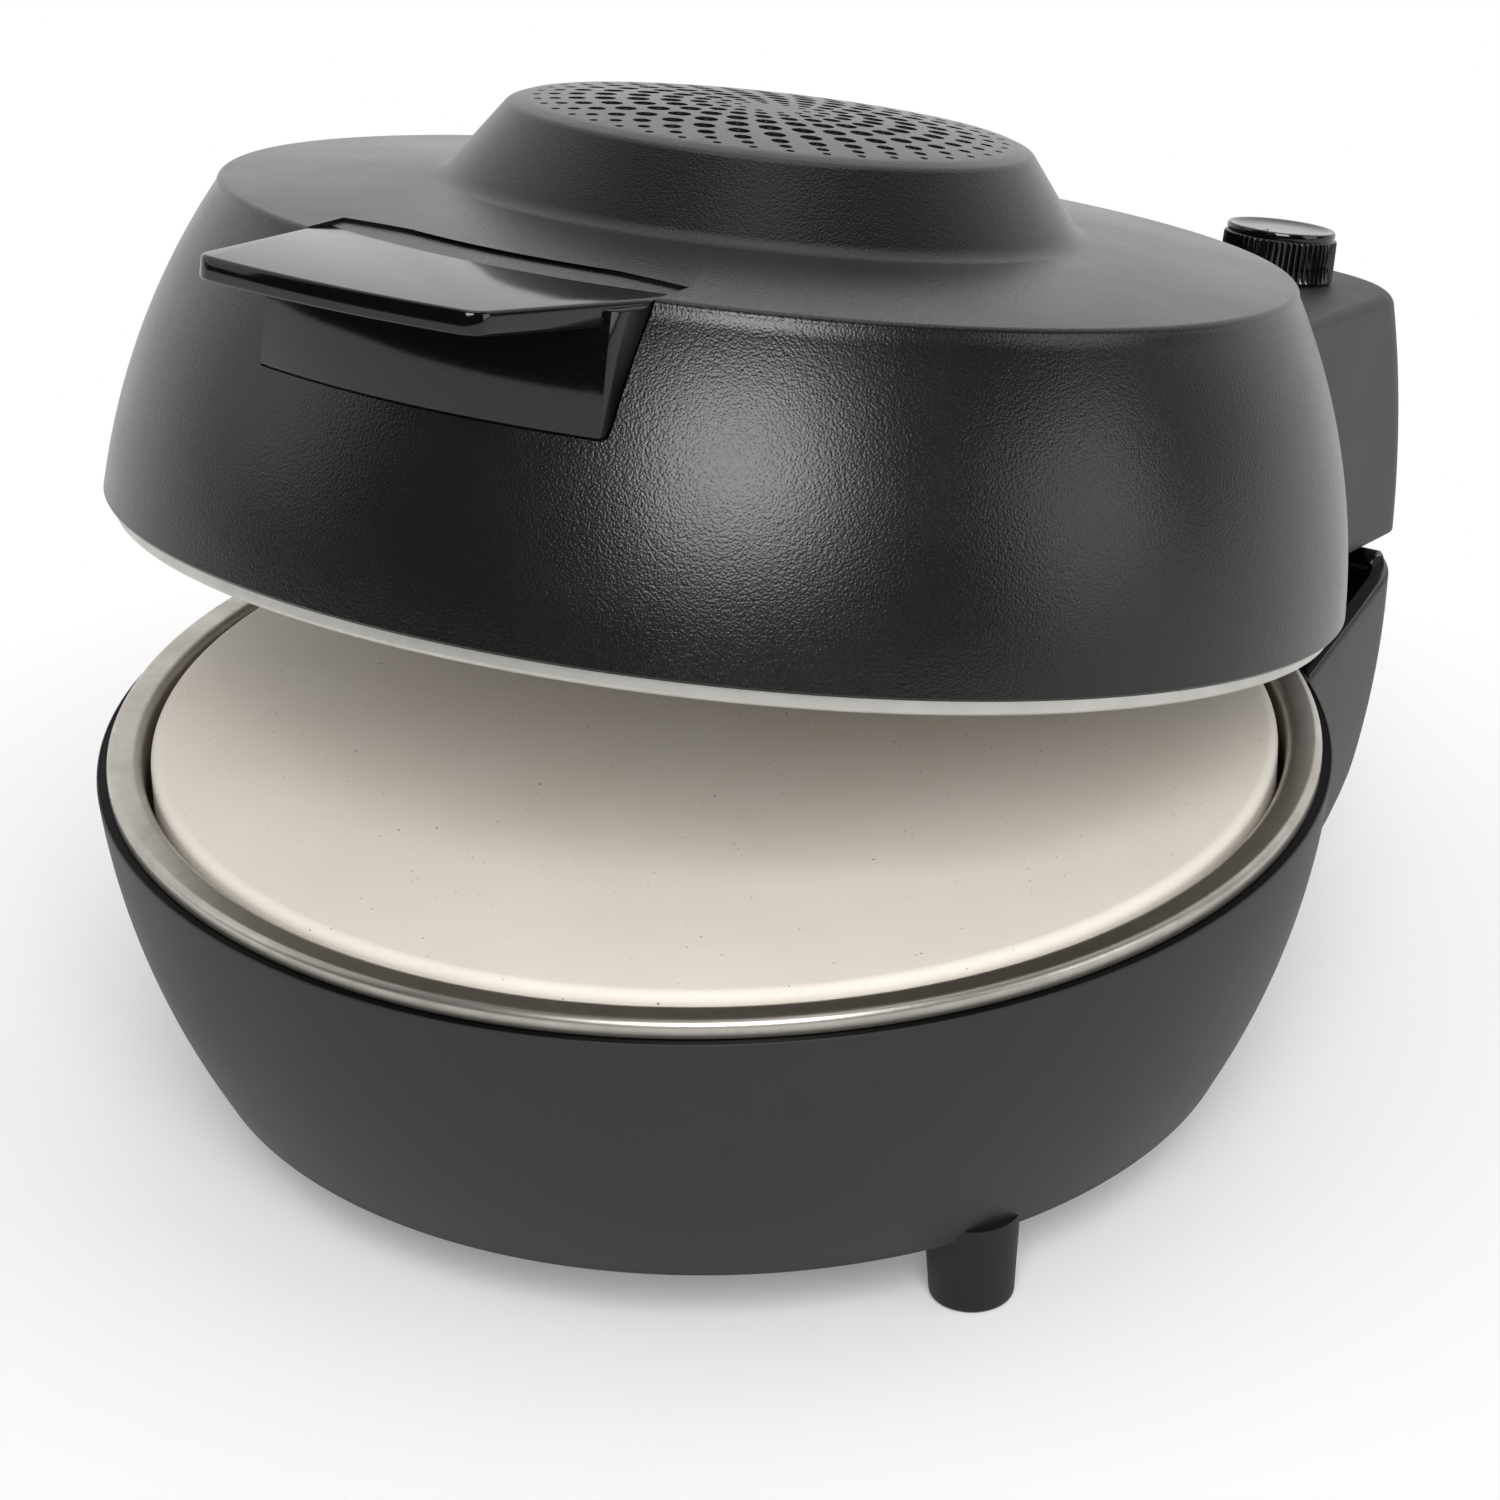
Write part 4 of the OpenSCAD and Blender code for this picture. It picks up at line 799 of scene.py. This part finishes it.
# %% [markdown]
# ## The vent cap
#
# The cap is a low cone with a crowned top. Nine rings of holes let the heat out: the smallest are at the
# edge and in the middle, and the largest half way between. Each ring has four holes fewer than the one
# outside it. Real holes are needed here, because their far walls catch the light. The top is filled with
# triangles round all the hole circles at once, then raised to the crown, and each circle is drawn down into
# a short wall.

# %% Vent cap
VENT_RINGS = 9
VENT_SIDES = 18
VENT_OUTER_R = 62.6
VENT_SPAN = 53.4
VENT_BUNCHING = 0.055
VENT_OUTER_COUNT = 42
VENT_COUNT_STEP = 4
HOLE_LEAST_R = 1.15
HOLE_GAIN = 2.0
HOLE_PEAK = 1.3
CAP_WALL = 2.2
CAP_TOP_R = 69.3
CAP_EDGE = 113.0
CAP_CROWN = 3.7
PLATE_R = 66.6


def crown_height(r):
    return CAP_EDGE + CAP_CROWN * (1 - (r / CAP_TOP_R) ** 2)


def vent_ring(ring):
    """Radius of the ring, radius of its holes, and how many it has."""
    share = ring / (VENT_RINGS - 1)
    bunched = share - VENT_BUNCHING * math.sin(2 * math.pi * share)
    hole_r = HOLE_LEAST_R + HOLE_GAIN * math.sin(math.pi * share) ** HOLE_PEAK
    return VENT_OUTER_R - VENT_SPAN * bunched, hole_r, VENT_OUTER_COUNT - VENT_COUNT_STEP * ring


VENT_START = math.radians(43.5 - 90)


def vent_plate():
    """The perforated top: a triangulated disc with a wall in each hole."""
    points = []
    loops = []
    holes = []

    def circle(x, y, r, count, start=0.0):
        first = len(points)
        for i in range(count):
            turn = start + 2 * math.pi * i / count
            points.append(Vector((x + r * math.cos(turn), y + r * math.sin(turn))))
        loops.append([first + i for i in range(count)])

    circle(0, 0, PLATE_R, TURN_STEPS)
    for ring in range(VENT_RINGS):
        ring_r, hole_r, count = vent_ring(ring)
        for i in range(count):
            turn = VENT_START + 2 * math.pi * i / count
            x, y = ring_r * math.cos(turn), ring_r * math.sin(turn)
            circle(x, y, hole_r, VENT_SIDES, turn)
            holes.append((x, y, hole_r))
    edges = [(loop[i], loop[(i + 1) % len(loop)]) for loop in loops for i in range(len(loop))]
    filled = geometry.delaunay_2d_cdt(points, edges, [], 1, 1e-5)
    flat = filled[0]

    def in_a_hole(face):
        middle = sum((flat[k] for k in face), Vector((0, 0))) / len(face)
        return any((middle.x - x) ** 2 + (middle.y - y) ** 2 < (0.97 * r) ** 2 for x, y, r in holes)

    top = [face for face in filled[2] if not in_a_hole(face)]
    count = len(flat)
    verts = [(p.x, p.y, crown_height(p.length)) for p in flat]
    verts += [(p.x, p.y, crown_height(p.length) - CAP_WALL) for p in flat]
    faces = [tuple(face) for face in top] + [tuple(k + count for k in reversed(face)) for face in top]
    owners = {}
    for face in top:
        for i, k in enumerate(face):
            following = face[(i + 1) % len(face)]
            owners.setdefault(frozenset((k, following)), []).append((k, following))
    for sides in owners.values():
        a, b = sides[0]
        on_rim = abs(flat[a].length - PLATE_R) < 0.01 and abs(flat[b].length - PLATE_R) < 0.01
        if len(sides) == 1 and not on_rim:
            faces.append((b, a, a + count, b + count))
    return verts, faces


CAP_LOW = CAP_SEAT_Z + 0.05
cap_outside = rounded([
    (CAP_SEAT_R, CAP_LOW, 0), (CAP_SEAT_R, top_height(CAP_SEAT_R), 0), (CAP_FOOT_R, CAP_FOOT_Z, 8),
    (70.3, 112.0, 3.8), (PLATE_R, crown_height(PLATE_R), 0), (0, CAP_SEAT_Z, 0),
], 10)[:-2]
cap_inside = [(PLATE_R, crown_height(PLATE_R) - CAP_WALL), (67.9, 110.2), (80.0, 94), (83.5, CAP_LOW)]
cap_sheet = lathe(cap_outside + [(PLATE_R, crown_height(PLATE_R))] + cap_inside)
seam = (len(cap_outside), len(cap_outside) + 1)
ring_count = len(cap_outside) + 1 + len(cap_inside)
cap_faces = [face for face in cap_sheet[1] if (face[0] % ring_count, face[1] % ring_count) != seam]
cap_shape = together((cap_sheet[0], cap_faces), vent_plate())
vent_cap = mesh_object("Vent_cap", cap_shape, LID)
finished(vent_cap, "lid", lid_plastic, "lid_shell", "vent_cap")
print("the cap has", sum(vent_ring(ring)[2] for ring in range(VENT_RINGS)), "holes")

# %% [markdown]
# ## The handle
#
# The handle is a polished block on the lid's front wall, with a thin shelf on top to lift by. The shelf's
# upper face is level with the lid's corner. Both have small roundings, which a polished mould keeps crisp.
# The lid has a shallow seat for it, half a millimetre wider, and that gap is the dark line round the
# handle.

# %% Handle
HANDLE_HALF = 50.8
HANDLE_LOW = 53.3
SHELF_R = 197.5
SHELF_LOW = 79.8
SHELF_HALF = 40.0
SHELF_CORNER_Y = -193.6
SHELF_WAIST_Y = -137
BLOCK_R = 159.5
BLOCK_SIDE_Y = -149
HANDLE_REAR_Y = -120
BLOCK_EDGE = 0.9
GROOVE = 0.5


def shrunk(outline, inset):
    """A closed outline moved inwards."""
    count = len(outline)
    moved = []
    for i, (x, y) in enumerate(outline):
        before, after = Vector(outline[i - 1]), Vector(outline[(i + 1) % count])
        along = (after - before).normalized()
        moved.append((x - along.y * inset, y + along.x * inset))
    return moved


def plate(outline, low, high, radius):
    """A plate with rounded edges above and below."""
    levels = list(reversed(edge_levels(low, radius, -1))) + edge_levels(high, radius, 1)
    return loft([[(x, y, z) for x, y in shrunk(outline, inset)] for z, inset in levels])


def front_arc(r, half, steps=20):
    reach = math.asin(half / r)
    return [(r * math.sin(t), -r * math.cos(t)) for t in spread(-reach, reach, steps)]


shelf_front = front_arc(SHELF_R, SHELF_HALF - 5)
shelf_corners = rounded([
    (-HANDLE_HALF, HANDLE_REAR_Y, 0), (-HANDLE_HALF, SHELF_WAIST_Y, 3), (-SHELF_HALF, SHELF_CORNER_Y, 6.5),
    (*shelf_front[0], 0), (*shelf_front[-1], 0),
    (SHELF_HALF, SHELF_CORNER_Y, 6.5), (HANDLE_HALF, SHELF_WAIST_Y, 3), (HANDLE_HALF, HANDLE_REAR_Y, 0),
], 8)
middle = len(shelf_corners) // 2
shelf_outline = shelf_corners[:middle] + shelf_front[1:-1] + shelf_corners[middle:]
shelf = plate(shelf_outline, SHELF_LOW, LID_H, 1.1)
block_front = front_arc(BLOCK_R, HANDLE_HALF - 1.2)
block_outline = [(-HANDLE_HALF, HANDLE_REAR_Y), (-HANDLE_HALF, BLOCK_SIDE_Y)] + block_front
block_outline += [(HANDLE_HALF, BLOCK_SIDE_Y), (HANDLE_HALF, HANDLE_REAR_Y)]
block = plate(block_outline, HANDLE_LOW, LID_H - 1.5, BLOCK_EDGE)


def lid_body(inwards, down):
    """The lid as a full body, a little smaller than its outside, to cut with."""
    return lathe([(0, -10)] + [(r - inwards, z - down) for r, z in lid_outside] + [(0, 90)])


lid_core = lid_body(1.5, 1.2)
seat = plate(shrunk(block_outline, -GROOVE), HANDLE_LOW - GROOVE, LID_H + 2, BLOCK_EDGE)
groove = mesh_object("groove", seat, LID)
cut(groove, lid_body(0.9, 0.8), LID)
cut_with(lid_piece, groove)
finished(lid_piece, "lid", lid_plastic, "lid_shell", "lid_shell")
handle_parts = []
for name, shape in (("Handle_shelf", shelf), ("Handle_block", block)):
    part = mesh_object(name, shape, LID)
    cut(part, lid_core, LID)
    handle_parts.append(part)
finished(handle_parts[0], "lid", gloss_plastic, "gloss_black", "handle")
finished(handle_parts[1], "lid", gloss_plastic, "gloss_black")

# %% [markdown]
# ## The inner dome
#
# A pale dome closes the lid from below and throws the heat down on to the pizza. Its rolled rim hangs a few
# millimetres below the lid's edge and shows as a light ring.

# %% Inner dome
rim_roll = rounded([(165.6, 2.5, 0), (165.6, -4.4, 1.3), (160, -4.4, 1.3), (159, -0.5, 0)], 6)
dome_wall = arc((159, -0.5), (138, 57), 9, 16)[1:]
dome_roof = [(132, 63.5), (126, 68), (120, 70.3), (114, 71), (0, 71)]
dome_face = rim_roll + dome_wall + dome_roof
dome = lathe(dome_face + list(reversed(beside(dome_face, -SHEET))))
finished(mesh_object("Inner_dome", dome, LID), "lid", dome_steel, "lid_liner", "lid_liner")

# %% [markdown]
# ## The control housing
#
# The housing behind the lid holds the thermostat and carries the lid's half of the hinge. It is a deep box,
# open below, whose sides close in towards the rear and whose rear wall bulges. It is lofted, hollowed and
# then fitted to the lid's round wall.

# %% Control housing
HOUSE_LOW = -7.5
HOUSE_TOP = 66.5
HOUSE_WALL = 2.8
HOUSE_EDGE = 3.5
HOUSE_LOW_HALF = 115
HOUSE_NARROWING = 5
HOUSE_WIDE_Y = 126
HOUSE_TAPER = 0.1
HOUSE_LOW_CORNER = 28
HOUSE_CORNER_GAIN = 16
HOUSE_FRONT_Y = 72
house_rear = arc((256.6, HOUSE_LOW), (243.6, HOUSE_TOP), 5.5, 18)


def house_plan(height, inset):
    share = (min(height, HOUSE_TOP) - HOUSE_LOW) / (HOUSE_TOP - HOUSE_LOW)
    half = HOUSE_LOW_HALF - HOUSE_NARROWING * share
    corner = HOUSE_LOW_CORNER + HOUSE_CORNER_GAIN * share
    rear_r = on_curve(house_rear, height)
    return rear_plan(half, HOUSE_WIDE_Y, HOUSE_TAPER, rear_r, corner, HOUSE_FRONT_Y, inset)


house_levels = list(reversed(edge_levels(HOUSE_LOW, 0.6, -1)))
house_levels += [(z, 0) for z in spread(HOUSE_LOW + 3, HOUSE_TOP - HOUSE_EDGE, 14)]
house_levels += edge_levels(HOUSE_TOP, HOUSE_EDGE, 1, 0.0, 8)
room_levels = [(z, HOUSE_WALL) for z in spread(HOUSE_LOW - 2, HOUSE_TOP - HOUSE_EDGE, 14)]
room_levels += [(HOUSE_TOP - HOUSE_WALL, HOUSE_WALL + 1.2)]
housing = mesh_object("Control_housing", loft(rings_of(house_plan, house_levels)), LID)
cut(housing, loft(rings_of(house_plan, room_levels)), LID)
below_lid = [(0, -20), (LID_R + 2, -20), (LID_R + 2, -0.02)]
inside_lid = [(r - 1.2, max(z, 0.0)) for r, z in lid_outside]
cut(housing, lathe(below_lid + [(LID_R - 1.2, 0)] + inside_lid + [(0, 91)]), LID)
finished(housing, "lid", base_plastic, "base_shell", "control_housing")

# %% [markdown]
# ## The dial
#
# The dial turns the thermostat. Fine ribs round its skirt give grip, and its polished top is slightly
# dished with a short raised mark to read it by.

# %% Dial
DIAL = (66.6, 195.6, 67.0)
DIAL_RIBS = 58
DIAL_STEPS = DIAL_RIBS * 6


def dial_ring(radius, height, rib=0.0):
    ring = []
    for i in range(DIAL_STEPS):
        turn = 2 * math.pi * i / DIAL_STEPS
        r = radius - rib * (0.5 - 0.5 * math.cos(DIAL_RIBS * turn))
        ring.append((DIAL[0] + r * math.cos(turn), DIAL[1] + r * math.sin(turn), DIAL[2] + height))
    return ring


dial_levels = [
    (15.6, 0, 0), (16.6, 0, 0), (17.0, 0.5, 0.3), (17.0, 1.1, 0.6), (16.95, 6, 0.6), (16.9, 11.6, 0.6),
    (16.7, 12.3, 0.3), (16.3, 12.6, 0), (16.1, 12.7, 0), (16.2, 13.0, 0), (16.2, 14.2, 0), (16.05, 14.7, 0),
    (15.7, 15.0, 0), (14.9, 15.0, 0), (14.2, 14.8, 0), (12.8, 14.35, 0), (8, 14.15, 0), (3, 14.1, 0),
]
dial = loft([dial_ring(r, z, rib) for r, z, rib in dial_levels])
pointer = plate([(x + DIAL[0], y + DIAL[1]) for x, y in rounded(
    [(-0.6, -14.6, 0.3), (0.6, -14.6, 0.3), (0.6, -10.5, 0.5), (-0.6, -10.5, 0.5)]
)], DIAL[2] + 14.0, DIAL[2] + 14.95, 0.25)
dial_piece = mesh_object("Dial", together(dial, pointer), LID)
finished(dial_piece, "control_knob", gloss_plastic, "gloss_black", "knob")

# %% [markdown]
# ## The small parts
#
# Everything else keeps its CAD shape. Each gets the finish of what it is made of.

# %% Finishes of the CAD nodes
NODE_FINISH = {
    frame_plastic: ("hinge_block", "lid_knuckles", "housing_floor"),
    zinc: (
        "hinge_pin_right", "hinge_pin_left", "bottom_screws", "handle_screws", "floor_screws",
        "control_shaft",
    ),
    galvanised: ("bottom_cover", "stone_supports", "lower_element_holders", "upper_element_holders"),
    heater_skin: ("lower_heating_element", "upper_heating_element"),
    ceramic: ("base_terminal_block", "thermostat", "thermal_fuse"),
    silicone: ("base_wiring", "lid_wiring"),
    foot_rubber: ("cord_gland",),
    felt: ("insulation_pad",),
    copper: ("sensor_tube",),
}
for material, names in NODE_FINISH.items():
    for name in names:
        node_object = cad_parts[name]
        node_object.data.materials.clear()
        node_object.data.materials.append(material)
    print(material.name, "on", ", ".join(names))

# %% [markdown]
# ## The studio
#
# A white floor runs out into a white background. Near the object the floor is lit, so that it keeps a soft
# shadow, and further out it fades to plain white. The white wall stands behind the object and the rest of
# the room is dark, which is why the black lid stays black in front while its top picks up a grey sheen. One
# large soft lamp stands in front on the right, weaker ones on the left and behind on the right, and one
# overhead.

# %% Floor and background
def seen_white(tree):
    """The light path, and a share that is 1 for what the camera, a gloss or a glass sees."""
    rays = add(tree, "LightPath", {}).outputs
    share = rays["Is Camera Ray"]
    for ray in ("Is Glossy Ray", "Is Transmission Ray"):
        share = add(tree, "Math", {0: share, 1: rays[ray]}, operation="MAXIMUM").outputs[0]
    return rays, share


FLOOR_Z = -110.5
FLOOR_HALF = 4000
LIT_FLOOR_R = 0.12
WHITE_FLOOR_R = 0.38
floor_shape = loft([[(x * FLOOR_HALF, y * FLOOR_HALF, z) for x, y in ((-1, -1), (1, -1), (1, 1), (-1, 1))]
                    for z in (FLOOR_Z - 5, FLOOR_Z - 0.02)])
floor = mesh_object("floor", floor_shape)
floor_paint, tree, shader, space = surface("white_paper_floor", Roughness=0.9, Specular_IOR_Level=0.1)
shader.inputs["Base Color"].default_value = linear("#f4f4f2")
parts = add(tree, "SeparateXYZ", {"Vector": space}).outputs
flat = add(tree, "CombineXYZ", {"X": parts["X"], "Y": parts["Y"], "Z": 0.0}).outputs[0]
distance = add(tree, "VectorMath", {0: flat}, operation="LENGTH").outputs["Value"]
fade = between(tree, distance, LIT_FLOOR_R, WHITE_FLOOR_R, 0.15, 1.0)
share = add(tree, "Math", {0: fade, 1: seen_white(tree)[1]}, operation="MULTIPLY").outputs[0]
glow = add(tree, "Emission", {"Color": (1, 1, 1, 1), "Strength": 1.0})
blend = add(tree, "MixShader", {0: share, 1: shader.outputs[0], 2: glow.outputs[0]})
tree.links.new(blend.outputs[0], tree.nodes["Material Output"].inputs["Surface"])
floor.data.materials.append(floor_paint)

WHITE_WALL = (-0.52, 0.84, 0.15)
DARK_ROOM = 0.05
SOFT_FILL = 0.38
world = bpy.data.worlds.new("studio")
bpy.context.scene.world = world
world.use_nodes = True
tree = world.node_tree
rays, seen = seen_white(tree)
toward = add(tree, "TexCoord", {}).outputs["Generated"]
facing = add(tree, "VectorMath", {0: toward, 1: WHITE_WALL}, operation="DOT_PRODUCT").outputs["Value"]
room = between(tree, facing, 0.0, 0.6, DARK_ROOM, 1.0)
camera_white = add(tree, "Math", {0: room, 1: rays["Is Camera Ray"]}, operation="MAXIMUM").outputs[0]
strength = between(tree, seen, 0.0, 1.0, SOFT_FILL, camera_white)
background = tree.nodes["Background"]
background.inputs["Color"].default_value = (1, 1, 1, 1)
tree.links.new(strength, background.inputs["Strength"])
print("floor and background are white")

# %% Lamps
def soft_lamp(name, place, aim, width, height, power):
    """A rectangular lamp. Its place, aim and size are in metres, and its power is in watts."""
    lamp = bpy.data.lights.new(name, "AREA")
    lamp.shape = "RECTANGLE"
    lamp.size = width
    lamp.size_y = height
    lamp.energy = power
    holder = bpy.data.objects.new(name, lamp)
    direction = Vector(aim) - Vector(place)
    holder.matrix_world = Matrix.Translation(place) @ direction.to_track_quat("-Z", "Y").to_matrix().to_4x4()
    bpy.context.scene.collection.objects.link(holder)
    print(name, "is", round(direction.length, 2), "m away")


RIM_MIDDLE = (0, 0, 0.02)
soft_lamp("key_lamp", (1.0, -1.45, 1.4), RIM_MIDDLE, 1.1, 1.1, 40)
soft_lamp("left_lamp", (-1.5, -0.9, 0.9), RIM_MIDDLE, 0.9, 1.2, 3)
soft_lamp("right_lamp", (1.7, 0.3, 0.5), RIM_MIDDLE, 0.9, 0.8, 5)
soft_lamp("overhead_lamp", (0.1, 0.3, 1.9), (0, 0, 0), 1.2, 1.2, 5)
bpy.context.scene.view_settings.view_transform = "Standard"
